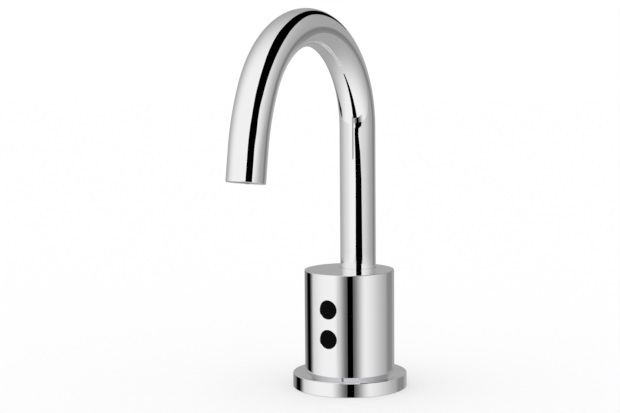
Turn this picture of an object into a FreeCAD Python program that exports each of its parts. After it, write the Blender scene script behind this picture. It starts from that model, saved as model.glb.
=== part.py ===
import FreeCAD, Part
import math
import os
import re

import Sketcher

# Deck-mounted sensor tap: a bent round spout that swings on a round body, the body standing on a
# dished base flange. A proximity sensor looks out of the front of the body through two windows,
# and a latching solenoid valve behind it opens the water.
#
# Frame: millimetres, +Z up, origin at the centre of the underside, on the deck. The front, with the
# two windows and the outlet, looks along -Y. The spout's leg stands behind the middle, at +Y.

# ---------------------------------------------------------------------------------------------
# Driving dimensions, in millimetres and degrees
# ---------------------------------------------------------------------------------------------
SIZES = {
    # base flange and its gasket
    "flange_radius": 35.0,
    "flange_height": 8.7,
    "flange_rim": 0.8,
    "flange_edge": 0.3,
    "flange_floor": 5.0,
    "flange_opening": 17.4,
    "gasket_margin": 2.0,
    "gasket_width": 4.5,
    "gasket_depth": 1.6,
    # collar between the flange and the body
    "collar_foot": 23.0,
    "shoulder_height": 10.4,
    "upstand_height": 3.6,
    "upstand_wall": 2.7,
    "slip_gap": 0.1,
    "tool_overrun": 1.0,
    # body shell
    "body_radius": 27.5,
    "body_wall": 2.5,
    "body_height": 72.3,
    "top_thickness": 4.0,
    "rim_round": 0.35,
    # bent spout
    "leg_back": 11.5,
    "tube_radius": 11.0,
    "tube_wall": 1.2,
    "leg_top": 158.8,
    "arch_radius": 60.0,
    "arch_turn": 153.0,
    "ease_radius": 116.0,
    "ease_turn": 18.0,
    "outlet_length": 17.5,
    "tube_gap": 0.2,
    "bearing_drop": 2.0,
    "bearing_thickness": 0.6,
    "bearing_gap": 0.05,
    "swing_angle": 60.0,
    # spigot under the spout, its seals and its stop
    "spigot_radius": 8.0,
    "spigot_wall": 3.0,
    "spigot_length": 32.5,
    "sleeve_length": 10.0,
    "socket_gap": 0.05,
    "socket_wall": 2.45,
    "socket_end": 0.45,
    "tower_gap": 0.3,
    "lip_gap": 0.6,
    "seal_start": 5.55,
    "seal_pitch": 7.0,
    "groove_width": 2.0,
    "groove_depth": 1.4,
    "seal_gap": 0.02,
    "slot_drop": 10.95,
    "slot_width": 3.2,
    "slot_depth": 1.6,
    "slot_margin": 0.5,
    "stop_radius": 1.4,
    "stop_gap": 0.2,
    "screw_radius": 2.5,
    "screw_sunk": 0.3,
    "screw_hole_gap": 0.2,
    "key_size": 2.5,
    "key_depth": 2.5,
    "thread_gap": 0.02,
    # aerator in the end of the spout
    "insert_wall": 1.1,
    "insert_length": 9.0,
    "aerator_sunk": 0.6,
    "housing_wall": 1.0,
    "housing_length": 9.0,
    "grid_thickness": 2.2,
    "grid_hole": 0.85,
    "grid_pitch": 2.45,
    "washer_thickness": 1.5,
    # front windows
    "lens_radius": 5.5,
    "lens_gap": 0.1,
    "lens_rise": 0.85,
    "lens_pitch": 18.0,
    "lens_sunk": 0.05,
    "lens_depth": 5.1,
    "lens_seal": 1.0,
    "lens_seal_bore": 3.4,
    "bezel_chamfer": 0.3,
    # sensor housing, board and cover, as depths behind the body's front
    "case_half": 8.0,
    "case_wall": 1.0,
    "case_gap": 0.3,
    "case_margin": 6.7,
    "case_depth": 7.1,
    "board_depth": 9.5,
    "board_thickness": 1.6,
    "board_gap": 0.1,
    "cover_depth": 13.1,
    "cover_thickness": 1.0,
    "light_tube": 3.0,
    "diode_radius": 2.5,
    "diode_length": 4.0,
    "post_spread": 7.0,
    "post_radius": 1.8,
    "small_screw": 1.1,
    "small_head": 2.0,
    "small_head_height": 1.0,
    "screw_depth": 7.5,
    "screw_end": 0.2,
    "chip_size": 5.0,
    "chip_height": 1.0,
    "plug_width": 4.0,
    "plug_height": 5.0,
    "plug_depth": 1.5,
    # bracket that carries the sensor
    "bracket_half": 5.2,
    "bracket_thickness": 1.0,
    "bracket_end": 2.6,
    "bracket_drop": 8.3,
    "tab_half": 3.6,
    "tab_back": 0.6,
    "lug_depth": 6.0,
    "lug_front": 5.6,
    "tab_screw": 1.5,
    "tab_screw_front": 2.4,
    "tab_head": 2.75,
    "tab_head_height": 1.8,
    # valve body
    "disc_radius": 22.0,
    "disc_top": 18.0,
    "valve_angle": 196.0,
    "tower_clearance": 0.6,
    "valve_radius": 10.4,
    "valve_top": 34.0,
    "chamber_radius": 7.0,
    "chamber_floor": 19.0,
    "nozzle_top": 24.0,
    "nozzle_bore": 3.0,
    "nozzle_wall": 1.2,
    "outlet_level": 14.2,
    "channel_radius": 2.6,
    "drill_run": 0.4,
    "riser_radius": 5.0,
    "feed_level": 21.5,
    "feed_radius": 2.0,
    "web_half": 4.5,
    # inlet
    "inlet_side": 7.0,
    "inlet_front": 5.0,
    "inlet_tower": 7.5,
    "inlet_top": 25.5,
    "inlet_chamber": 4.8,
    "nipple_radius": 5.8,
    "nipple_height": 20.0,
    "hose_radius": 4.5,
    "hose_depth": 10.0,
    "filter_thickness": 1.4,
    "filter_radius": 4.0,
    "filter_hole": 0.45,
    "filter_pitch": 1.25,
    "filter_ledge": 0.6,
    "filter_step": 0.3,
    "cage_radius": 5.0,
    "cage_wall": 0.9,
    "cage_floor": 1.2,
    "spring_room": 1.15,
    "cage_roof": 0.9,
    "port_radius": 2.2,
    "poppet_radius": 3.3,
    "poppet_seal": 0.7,
    "poppet_plate": 1.0,
    "poppet_lip": 0.2,
    "check_spring_gap": 0.3,
    "stem_radius": 0.9,
    "stem_length": 4.4,
    "stem_gap": 0.08,
    "poppet_travel": 1.8,
    "rest_gap": 0.05,
    # fixings under the deck
    "stud_spread": 23.0,
    "stud_radius": 2.5,
    "stud_depth": 9.0,
    "gland_side": 12.0,
    "gland_back": 4.5,
    "gland_radius": 3.2,
    "gland_bore": 2.1,
    "gland_length": 9.0,
    "gland_lip": 3.8,
    "lip_depth": 1.0,
    # servo piston
    "seat_washer": 1.0,
    "seat_radius": 4.8,
    "piston_gap": 0.07,
    "piston_height": 3.0,
    "piston_travel": 2.0,
    "piston_room": 0.25,
    "pilot_radius": 0.5,
    "pilot_nub": 1.6,
    "nub_height": 1.0,
    "cup_drop": 0.9,
    "cup_height": 1.4,
    "cup_depth": 1.4,
    "cup_gap": 0.03,
    # solenoid
    "bonnet_radius": 8.5,
    "bonnet_flange": 9.2,
    "bonnet_rim": 2.0,
    "bonnet_seal": 1.0,
    "bonnet_land": 0.8,
    "seal_seat": 0.01,
    "armature_radius": 4.05,
    "armature_gap": 0.05,
    "armature_length": 17.0,
    "armature_travel": 3.0,
    "armature_seal": 0.35,
    "seal_recess": 0.65,
    "seal_disc": 2.2,
    "spring_recess": 6.0,
    "spring_radius": 2.1,
    "spring_wire": 0.4,
    "sleeve_wall": 0.5,
    "core_top": 57.5,
    "can_radius": 9.0,
    "can_wall": 0.8,
    "can_height": 19.5,
    "can_plate": 1.0,
    "bobbin_gap": 0.1,
    "bobbin_wall": 0.7,
    "bobbin_cheek": 0.9,
    "winding_gap": 0.4,
    "nut_radius": 6.4,
    "magnet_radius": 4.5,
    "magnet_height": 2.0,
    # solenoid lead
    "lead_radius": 0.7,
    "lead_level": 38.0,
    "lead_side": 6.2,
    "lead_bend": 4.0,
}

doc = FreeCAD.newDocument("SensorTap")
sheet = doc.addObject("Spreadsheet::Sheet", "Sizes")
for row, (alias, size) in enumerate(SIZES.items(), start=1):
    sheet.set(f"A{row}", alias)
    sheet.set(f"B{row}", str(size))
    sheet.setAlias(f"B{row}", alias)
doc.recompute()

# ---------------------------------------------------------------------------------------------
# Sizes and places that follow from the driving dimensions, as expressions on the sheet
# ---------------------------------------------------------------------------------------------
GASKET_OUTER = "(flange_radius - gasket_margin)"
GASKET_INNER = f"({GASKET_OUTER} - gasket_width)"
SHELL_BORE = "(body_radius - body_wall)"
TOP_UNDERSIDE = "(body_height - top_thickness)"
FOOT_RADIUS = "(flange_opening - 2 * slip_gap)"
UPSTAND_OUTER = f"({SHELL_BORE} - slip_gap)"
UPSTAND_INNER = f"({UPSTAND_OUTER} - upstand_wall)"
UPSTAND_TOP = "(shoulder_height + upstand_height)"
TOWER_FOOT = f"({UPSTAND_TOP} + tower_gap)"

BEARING_FLOOR = "(body_height - bearing_drop)"
TUBE_END = f"({BEARING_FLOOR} + bearing_thickness + bearing_gap)"
TUBE_BORE = "(tube_radius - tube_wall)"
EASE_BACK = "(leg_back - arch_radius + (arch_radius - ease_radius) * cos(arch_turn * 1deg))"
EASE_UP = "(leg_top + (arch_radius - ease_radius) * sin(arch_turn * 1deg))"
END_TURN = "((arch_turn + ease_turn) * 1deg)"
COUNTERBORE = "(tube_radius + tube_gap)"
SPIGOT_BORE = "(spigot_radius - spigot_wall)"
SPIGOT_END = f"({TUBE_END} - spigot_length)"
SEAL_LOWER = f"({SPIGOT_END} + seal_start)"
SEAL_UPPER = f"({SEAL_LOWER} + seal_pitch)"
SLOT_LEVEL = f"({TUBE_END} - slot_drop)"
SOCKET_FLOOR = f"({SPIGOT_END} - socket_end)"
SOCKET_BORE = "(spigot_radius + socket_gap)"
SOCKET_OUTER = f"({SOCKET_BORE} + socket_wall)"
SOCKET_TOP = f"({TOP_UNDERSIDE} - tower_gap)"
SEAL_SECTION = "((groove_depth + socket_gap - seal_gap) / 2)"
SEAL_CENTRE = f"(spigot_radius - groove_depth + {SEAL_SECTION})"

INSERT_BORE = f"({TUBE_BORE} - insert_wall)"
AERATOR_RADIUS = f"({INSERT_BORE} - thread_gap)"
AERATOR_BORE = f"({AERATOR_RADIUS} - housing_wall)"

LENS_HOLE = "(lens_radius + lens_gap)"
LENS_BACK = "(body_radius - lens_depth)"
LENS_STOP = f"(0 - {LENS_BACK} + lens_seal)"
CASE_MIDDLE = "((shoulder_height + body_height) / 2 + lens_rise)"
LENS_UPPER = f"({CASE_MIDDLE} + lens_pitch / 2)"
LENS_LOWER = f"({CASE_MIDDLE} - lens_pitch / 2)"
CASE_LOW = f"({LENS_LOWER} - case_margin)"
CASE_HIGH = f"({LENS_UPPER} + case_margin)"
CASE_FLOOR = "(body_radius - case_depth)"
BOARD_FRONT = "(body_radius - board_depth)"
BOARD_BACK = f"({BOARD_FRONT} - board_thickness)"
COVER_FRONT = "(body_radius - cover_depth)"
COVER_BACK = f"({COVER_FRONT} - cover_thickness)"
BRACKET_BACK = f"({COVER_BACK} - bracket_thickness)"
BRACKET_LOW = f"({CASE_MIDDLE} - bracket_end)"
BRACKET_LEVEL = f"({TOP_UNDERSIDE} - bracket_drop)"

VALVE_REACH = f"({SHELL_BORE} - tower_clearance - valve_radius)"
VALVE_X = f"({VALVE_REACH} * cos(valve_angle * 1deg))"
VALVE_Y = f"({VALVE_REACH} * sin(valve_angle * 1deg))"
NOZZLE_OUTER = "(nozzle_bore + nozzle_wall)"
COUNTERBORE_RADIUS = "(bonnet_radius + thread_gap)"
DRILL_END = "(outlet_level - channel_radius - drill_run)"
INLET_X = "inlet_side"
INLET_Y = "(0 - inlet_front)"
NIPPLE_HOLE = "(nipple_radius + thread_gap)"
FILTER_LOW = "(hose_depth + filter_step)"
CHECK_FLOOR = "(hose_depth + filter_thickness)"
CAGE_BORE = "(cage_radius - cage_wall)"
CAGE_SEAT = f"({CHECK_FLOOR} + cage_floor)"
POPPET_TOP = f"({CAGE_SEAT} + rest_gap + poppet_seal + poppet_plate)"
CAGE_ROOF = f"({POPPET_TOP} + poppet_travel + spring_room)"
CAGE_TOP = f"({CAGE_ROOF} + cage_roof)"

PISTON_LOW = "(nozzle_top + rest_gap + seat_washer)"
PISTON_HIGH = f"({PISTON_LOW} + piston_height)"
PISTON_RADIUS = "(chamber_radius - piston_gap)"
CHAMBER_TOP = f"({PISTON_HIGH} + piston_travel + piston_room)"
NUB_TOP = f"({PISTON_HIGH} + nub_height)"
ARMATURE_LOW = f"({NUB_TOP} + rest_gap + armature_seal)"
ARMATURE_HIGH = f"({ARMATURE_LOW} + armature_length)"
SLEEVE_BORE = "(armature_radius + armature_gap)"
SLEEVE_OUTER = f"({SLEEVE_BORE} + sleeve_wall)"
CORE_LOW = f"({ARMATURE_HIGH} + armature_travel + rest_gap)"
CAN_LOW = "(valve_top + bonnet_rim)"
CAN_HIGH = f"({CAN_LOW} + can_height)"
CAN_BORE = f"({SLEEVE_OUTER} + bobbin_gap)"


def on_sheet(text):
    """The expression with each driving dimension's name read from the sheet."""
    return re.sub(r"[a-z]+(?:_[a-z]+)+", lambda word: "Sizes." + word.group(), text)


def value(text):
    """The number that an expression has now."""
    return float(sheet.evalExpression(on_sheet(text)))


def bind(item, prop, text):
    item.setExpression(prop, on_sheet(text))


def place(item, x="0", y="0", z="0"):
    """Puts an object at a point worked out from the sheet."""
    for axis, text in zip("xyz", (x, y, z)):
        bind(item, f"Placement.Base.{axis}", text)
    return item


def finish(item, label):
    """Names a finished sub-part, which also names its file."""
    item.Label = label
    return item


# ---------------------------------------------------------------------------------------------
# Sketched and turned pieces
# ---------------------------------------------------------------------------------------------
def sketch_on(body, role, name):
    sketch = body.newObject("Sketcher::SketchObject", name)
    plane = next(item for item in body.Origin.OriginFeatures if item.Role == role)
    sketch.AttachmentSupport = [(plane, "")]
    sketch.MapMode = "FlatFace"
    return sketch


def pin_point(sketch, edge, end, across, up):
    """Holds one end of a sketch edge at a bound distance from the sketch's origin."""
    for kind, axis, text in (("DistanceX", -2, across), ("DistanceY", -1, up)):
        if text == "0":
            sketch.addConstraint(Sketcher.Constraint("PointOnObject", edge, end, axis))
            continue
        row = sketch.addConstraint(Sketcher.Constraint(kind, -1, 1, edge, end, value(text)))
        bind(sketch, f"Constraints[{row}]", text)


def outline(sketch, corners):
    """Draws a closed outline of straight edges through corners given as two expressions each."""
    points = [FreeCAD.Vector(value(across), value(up), 0) for across, up in corners]
    first = sketch.GeometryCount
    count = len(points)
    for step in range(count):
        sketch.addGeometry(Part.LineSegment(points[step], points[(step + 1) % count]))
    for step in range(count):
        following = first + (step + 1) % count
        sketch.addConstraint(Sketcher.Constraint("Coincident", first + step, 2, following, 1))
    for step, (across, up) in enumerate(corners):
        pin_point(sketch, first + step, 1, across, up)


def circle(sketch, radius, across="0", up="0"):
    """Draws a circle whose centre and radius are bound to the sheet."""
    centre = FreeCAD.Vector(value(across), value(up), 0)
    row = sketch.addGeometry(Part.Circle(centre, FreeCAD.Vector(0, 0, 1), value(radius)))
    pin_point(sketch, row, 3, across, up)
    size = sketch.addConstraint(Sketcher.Constraint("Radius", row, value(radius)))
    bind(sketch, f"Constraints[{size}]", radius)


def turned(name, corners, x="0", y="0", z="0"):
    """A piece turned about its own upright axis from an outline of (radius, height) corners."""
    body = doc.addObject("PartDesign::Body", name)
    sketch = sketch_on(body, "XZ_Plane", name + "_outline")
    outline(sketch, corners)
    turn = body.newObject("PartDesign::Revolution", name + "_turn")
    turn.Profile = sketch
    turn.ReferenceAxis = (sketch, ["V_Axis"])
    turn.Angle = 360
    sketch.Visibility = False
    body.Tip = turn
    return place(body, x, y, z)


def ring(name, inner, outer, low, high, x="0", y="0"):
    """A turned washer or sleeve."""
    corners = [(inner, low), (outer, low), (outer, high), (inner, high)]
    return turned(name, corners, x, y)


def disc(name, radius, low, high, x="0", y="0"):
    return turned(name, [("0", low), (radius, low), (radius, high), ("0", high)], x, y)


def seal_ring(name, section, centre, level, x="0", y="0"):
    """A rubber ring of round section."""
    torus = doc.addObject("Part::Torus", name)
    bind(torus, "Radius1", centre)
    bind(torus, "Radius2", section)
    return place(torus, x, y, level)


# ---------------------------------------------------------------------------------------------
# Solids and booleans for cast and milled pieces
# ---------------------------------------------------------------------------------------------
def rod(name, radius, low, high, x="0", y="0"):
    """An upright cylinder between two levels."""
    item = doc.addObject("Part::Cylinder", name)
    bind(item, "Radius", radius)
    bind(item, "Height", f"({high}) - ({low})")
    return place(item, x, y, low)


def rod_along_y(name, radius, near, far, x="0", z="0"):
    """A level cylinder from y = near to y = far."""
    item = doc.addObject("Part::Cylinder", name)
    bind(item, "Radius", radius)
    bind(item, "Height", f"({far}) - ({near})")
    item.Placement.Rotation = FreeCAD.Rotation(FreeCAD.Vector(1, 0, 0), -90)
    return place(item, x, near, z)


def rod_along_x(name, radius, near, far, y="0", z="0"):
    """A level cylinder from x = near to x = far."""
    item = doc.addObject("Part::Cylinder", name)
    bind(item, "Radius", radius)
    bind(item, "Height", f"({far}) - ({near})")
    item.Placement.Rotation = FreeCAD.Rotation(FreeCAD.Vector(0, 1, 0), 90)
    return place(item, near, y, z)


def block(name, x, y, z):
    """A block between two bound limits on each axis."""
    item = doc.addObject("Part::Box", name)
    for prop, (low, high) in (("Length", x), ("Width", y), ("Height", z)):
        bind(item, prop, f"({high}) - ({low})")
    return place(item, x[0], y[0], z[0])


def joined(name, *items):
    fuse = doc.addObject("Part::MultiFuse", name)
    fuse.Shapes = list(items)
    fuse.Refine = True
    return fuse


def cut_away(name, base, *tools):
    """The base with every tool taken out of it."""
    cut = doc.addObject("Part::Cut", name)
    cut.Base = base
    cut.Tool = tools[0] if len(tools) == 1 else joined(name + "_tools", *tools)
    cut.Refine = True
    return cut


def shared(name, first, second):
    common = doc.addObject("Part::Common", name)
    common.Base = first
    common.Tool = second
    return common


def dress_edges(kind, name, base, size, wanted):
    """Rounds or chamfers the edges of a solid that a test picks out."""
    doc.recompute()
    amount = value(size)
    dressed = doc.addObject(kind, name)
    dressed.Base = base
    edges = enumerate(base.Shape.Edges, start=1)
    dressed.Edges = [(row, amount, amount) for row, edge in edges if wanted(edge)]
    return dressed


def radius_from_axis(point):
    return math.hypot(point.x, point.y)


# ---------------------------------------------------------------------------------------------
# Base
# ---------------------------------------------------------------------------------------------
def base_flange():
    """Turned brass flange with a dished top, so that the collar stands in a shadow gap."""
    edge = "flange_edge"
    corners = [
        ("flange_opening", "0"),
        (GASKET_INNER, "0"),
        (GASKET_INNER, "gasket_depth"),
        (GASKET_OUTER, "gasket_depth"),
        (GASKET_OUTER, "0"),
        (f"flange_radius - {edge}", "0"),
        ("flange_radius", edge),
        ("flange_radius", f"flange_height - {edge}"),
        (f"flange_radius - {edge}", "flange_height"),
        ("flange_radius - flange_rim", "flange_height"),
        ("collar_foot + slip_gap", "flange_floor"),
        ("flange_opening", "flange_floor"),
    ]
    return finish(turned("Flange", corners), "base_flange")


def base_gasket():
    """Flat rubber ring that fills the groove under the flange, level with the underside."""
    return finish(ring("Gasket", GASKET_INNER, GASKET_OUTER, "0", "gasket_depth"), "base_gasket")


def body_collar():
    """Cone under the body, with an upstand inside the shell and a seat for the valve body."""
    corners = [
        ("flange_opening", "flange_floor"),
        ("collar_foot", "flange_floor"),
        ("body_radius", "shoulder_height"),
        (UPSTAND_OUTER, "shoulder_height"),
        (UPSTAND_OUTER, UPSTAND_TOP),
        (UPSTAND_INNER, UPSTAND_TOP),
        (UPSTAND_INNER, "shoulder_height"),
        ("flange_opening", "shoulder_height"),
    ]
    return finish(turned("Collar", corners), "body_collar")


# ---------------------------------------------------------------------------------------------
# Body shell
# ---------------------------------------------------------------------------------------------
def body_shell():
    """Deep cup, open below, with window holes, a counterbored spout hole and a screw hole."""
    cup = turned("Cup", [
        (SHELL_BORE, "shoulder_height"),
        ("body_radius", "shoulder_height"),
        ("body_radius", "body_height"),
        ("0", "body_height"),
        ("0", TOP_UNDERSIDE),
        (SHELL_BORE, TOP_UNDERSIDE),
    ])
    past = "body_radius + body_wall"
    tools = [
        rod("SpoutHole", "spigot_radius + lip_gap", f"{TOP_UNDERSIDE} - tool_overrun", "body_height",
            "0", "leg_back"),
        rod("SpoutCounterbore", COUNTERBORE, BEARING_FLOOR, "body_height + tool_overrun", "0", "leg_back"),
        rod_along_y("ScrewHole", "screw_radius + screw_hole_gap", "leg_back", past, "0", SLOT_LEVEL),
    ]
    for name, level in (("Upper", LENS_UPPER), ("Lower", LENS_LOWER)):
        tools.append(rod_along_y("Window" + name, LENS_HOLE, f"0 - ({past})", "0", "0", level))
    bored = cut_away("BoredCup", cup, *tools)
    outer = value("body_radius")
    top = value("body_height")

    def window_edge(edge):
        ends = [radius_from_axis(vertex.Point) for vertex in edge.Vertexes]
        middle = edge.valueAt((edge.FirstParameter + edge.LastParameter) / 2)
        across = edge.BoundBox.XLength < value("3 * lens_radius")
        on_face = all(abs(reach - outer) < 0.01 for reach in ends + [radius_from_axis(middle)])
        return on_face and across and middle.y < 0 and edge.BoundBox.ZLength > 1

    def rim_edge(edge):
        box = edge.BoundBox
        return abs(box.ZMin - top) < 0.01 and box.XLength > outer

    chamfered = dress_edges("Part::Chamfer", "WindowChamfers", bored, "bezel_chamfer", window_edge)
    rounded = dress_edges("Part::Fillet", "RimRound", chamfered, "rim_round", rim_edge)
    return finish(rounded, "body_shell")


# ---------------------------------------------------------------------------------------------
# Spout
# ---------------------------------------------------------------------------------------------
def spout_tube():
    """Round tube: straight leg, the arch, a gentler bend after it, and a short straight end."""
    body = doc.addObject("PartDesign::Body", "SpoutTube")
    path = sketch_on(body, "YZ_Plane", "TubePath")
    bend_y = "(leg_back - arch_radius + arch_radius * cos(arch_turn * 1deg))"
    bend_z = "(leg_top + arch_radius * sin(arch_turn * 1deg))"
    ease_y = f"({EASE_BACK} + ease_radius * cos{END_TURN})"
    ease_z = f"({EASE_UP} + ease_radius * sin{END_TURN})"
    tip_y = f"({ease_y} - outlet_length * sin{END_TURN})"
    tip_z = f"({ease_z} + outlet_length * cos{END_TURN})"
    ends = [(bend_y, bend_z), (ease_y, ease_z), (tip_y, tip_z)]
    places = [("leg_back", TUBE_END), ("leg_back", "leg_top"), *ends]
    points = [FreeCAD.Vector(value(across), value(up), 0) for across, up in places]
    arch_centre = ("leg_back - arch_radius", "leg_top")
    first_turn = math.radians(value("arch_turn"))
    last_turn = math.radians(value("arch_turn + ease_turn"))
    path.addGeometry(Part.LineSegment(points[0], points[1]))
    for across, up, radius, start, end in (
        (*arch_centre, "arch_radius", 0, first_turn),
        (EASE_BACK, EASE_UP, "ease_radius", first_turn, last_turn),
    ):
        centre = FreeCAD.Vector(value(across), value(up), 0)
        bend = Part.Circle(centre, FreeCAD.Vector(0, 0, 1), value(radius))
        path.addGeometry(Part.ArcOfCircle(bend, start, end))
    path.addGeometry(Part.LineSegment(points[3], points[4]))
    for edge in range(3):
        path.addConstraint(Sketcher.Constraint("Coincident", edge, 2, edge + 1, 1))
    pin_point(path, 0, 1, *places[0])
    pin_point(path, 0, 2, *places[1])
    pin_point(path, 1, 3, *arch_centre)
    pin_point(path, 2, 3, EASE_BACK, EASE_UP)
    pin_point(path, 3, 2, *places[4])
    for edge, level in ((1, bend_z), (2, ease_z)):
        rise = path.addConstraint(Sketcher.Constraint("DistanceY", -1, 1, edge, 2, value(level)))
        bind(path, f"Constraints[{rise}]", level)
    section = sketch_on(body, "XY_Plane", "TubeSection")
    bind(section, "AttachmentOffset.Base.z", TUBE_END)
    for radius in ("tube_radius", TUBE_BORE):
        circle(section, radius, "0", "leg_back")
    pipe = body.newObject("PartDesign::AdditivePipe", "TubePipe")
    pipe.Profile = section
    pipe.Spine = (path, ["Edge1", "Edge2", "Edge3", "Edge4"])
    body.Tip = pipe
    return finish(body, "spout_tube")


def spout_spigot():
    """Turned brass spigot brazed into the leg, with two seal grooves and a stop slot behind."""
    corners = [(SPIGOT_BORE, SPIGOT_END), ("spigot_radius", SPIGOT_END)]
    for level in (SEAL_LOWER, SEAL_UPPER):
        corners += [
            ("spigot_radius", f"{level} - groove_width / 2"),
            ("spigot_radius - groove_depth", f"{level} - groove_width / 2"),
            ("spigot_radius - groove_depth", f"{level} + groove_width / 2"),
            ("spigot_radius", f"{level} + groove_width / 2"),
        ]
    corners += [
        ("spigot_radius", TUBE_END),
        (TUBE_BORE, TUBE_END),
        (TUBE_BORE, f"{TUBE_END} + sleeve_length"),
        (SPIGOT_BORE, f"{TUBE_END} + sleeve_length"),
    ]
    body = turned("Spigot", corners, "0", "leg_back")
    slot = sketch_on(body, "YZ_Plane", "SlotSection")
    low = f"{SLOT_LEVEL} - slot_width / 2"
    high = f"{SLOT_LEVEL} + slot_width / 2"
    floor = "spigot_radius - slot_depth"
    past = "spigot_radius + tool_overrun"
    outline(slot, [(floor, low), (past, low), (past, high), (floor, high)])
    groove = body.newObject("PartDesign::Groove", "StopSlot")
    groove.Profile = slot
    groove.ReferenceAxis = (slot, ["V_Axis"])
    groove.Midplane = True
    reach = "asin((stop_radius + stop_gap) / (spigot_radius - slot_depth))"
    bind(groove, "Angle", f"2 * (swing_angle * 1deg + slot_margin * 1deg + {reach})")
    body.Tip = groove
    return finish(body, "spout_spigot")


def spigot_seals():
    for name, level in (("lower", SEAL_LOWER), ("upper", SEAL_UPPER)):
        seal = seal_ring("SpigotSeal_" + name, SEAL_SECTION, SEAL_CENTRE, level, "0", "leg_back")
        finish(seal, "spigot_o_ring_" + name)


def spout_bearing_ring():
    """Plastic ring in the counterbore of the shell, on which the tube turns."""
    bore = "spigot_radius + lip_gap / 2"
    outer = f"{COUNTERBORE} - slip_gap"
    top = f"{BEARING_FLOOR} + bearing_thickness"
    return finish(ring("BearingRing", bore, outer, BEARING_FLOOR, top, "0", "leg_back"), "spout_bearing_ring")


def at_outlet(body, depth):
    """Sets a piece in the end of the spout, its own Z along the flow, depth inside the cut end."""
    run = f"(outlet_length - ({depth}))"
    across = f"{EASE_BACK} + ease_radius * cos{END_TURN} - {run} * sin{END_TURN}"
    up = f"{EASE_UP} + ease_radius * sin{END_TURN} + {run} * cos{END_TURN}"
    body.Placement.Rotation = FreeCAD.Rotation(FreeCAD.Vector(1, 0, 0), value("arch_turn + ease_turn"))
    place(body, "0", across, up)
    bind(body, "Placement.Rotation.Angle", END_TURN)
    return body


def outlet_insert():
    """Threaded ring soldered into the end of the tube."""
    insert = ring("OutletInsert", INSERT_BORE, TUBE_BORE, "0", "insert_length")
    return finish(at_outlet(insert, "insert_length + aerator_sunk"), "outlet_thread_ring")


def aerator_housing():
    """Moulded cup with an inner step at its mouth, screwed into the threaded ring."""
    step = f"({AERATOR_BORE} - housing_wall)"
    corners = [
        (AERATOR_BORE, "0"),
        (AERATOR_RADIUS, "0"),
        (AERATOR_RADIUS, "housing_length"),
        (step, "housing_length"),
        (step, "housing_length - housing_wall"),
        (AERATOR_BORE, "housing_length - housing_wall"),
    ]
    housing = at_outlet(turned("AeratorHousing", corners), "housing_length + aerator_sunk")
    return finish(housing, "aerator_housing")


def aerator_grid():
    """Outlet grid of the aerator: rings of round holes round a middle hole."""
    body = doc.addObject("PartDesign::Body", "AeratorGrid")
    plate = sketch_on(body, "XY_Plane", "GridPlate")
    circle(plate, f"{AERATOR_BORE} - slip_gap")
    pad = body.newObject("PartDesign::Pad", "GridPad")
    pad.Profile = plate
    bind(pad, "Length", "grid_thickness")
    middle = sketch_on(body, "XY_Plane", "GridMiddle")
    circle(middle, "grid_hole")
    hole = body.newObject("PartDesign::Pocket", "GridMiddleHole")
    hole.Profile = middle
    hole.Type = "ThroughAll"
    hole.Reversed = True
    body.Tip = hole
    for count, ring_name, reach in ((6, "Inner", "grid_pitch"), (12, "Outer", "grid_pitch * 2")):
        spot = sketch_on(body, "XY_Plane", f"Grid{ring_name}Spot")
        circle(spot, "grid_hole", reach, "0")
        hole = body.newObject("PartDesign::Pocket", f"Grid{ring_name}Hole")
        hole.Profile = spot
        hole.Type = "ThroughAll"
        hole.Reversed = True
        body.Tip = hole
        doc.recompute()
        pattern = body.newObject("PartDesign::PolarPattern", f"Grid{ring_name}Ring")
        pattern.Originals = [hole]
        pattern.Axis = (plate, ["N_Axis"])
        pattern.Angle = 360
        pattern.Occurrences = count
        body.Tip = pattern
    depth = "grid_thickness + housing_wall + aerator_sunk"
    return finish(at_outlet(body, depth), "aerator_grid")


def aerator_washer():
    """Rubber washer above the housing, against the threaded ring."""
    washer = ring("AeratorWasher", AERATOR_BORE, f"{TUBE_BORE} - slip_gap", "0", "washer_thickness")
    return finish(at_outlet(washer, "washer_thickness + insert_length + aerator_sunk"), "aerator_washer")


# ---------------------------------------------------------------------------------------------
# Valve body and its connections
# ---------------------------------------------------------------------------------------------
def outlet_channel():
    """Level drilling from under the valve seat to the foot of the spout's socket."""
    across = f"(0 - {VALVE_X})"
    along = f"(leg_back - {VALVE_Y})"
    length = f"sqrt({across} * {across} + {along} * {along})"
    channel = doc.addObject("Part::Cylinder", "OutletChannel")
    bind(channel, "Radius", "channel_radius")
    bind(channel, "Height", length)
    channel.Placement.Rotation = FreeCAD.Rotation(FreeCAD.Vector(-1, 1, 0), 90)
    bind(channel, "Placement.Rotation.Axis.x", f"0 - {along} / {length}")
    bind(channel, "Placement.Rotation.Axis.y", f"{across} / {length}")
    bind(channel, "Placement.Rotation.Angle", "90deg")
    return place(channel, VALVE_X, VALVE_Y, "outlet_level")


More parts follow.
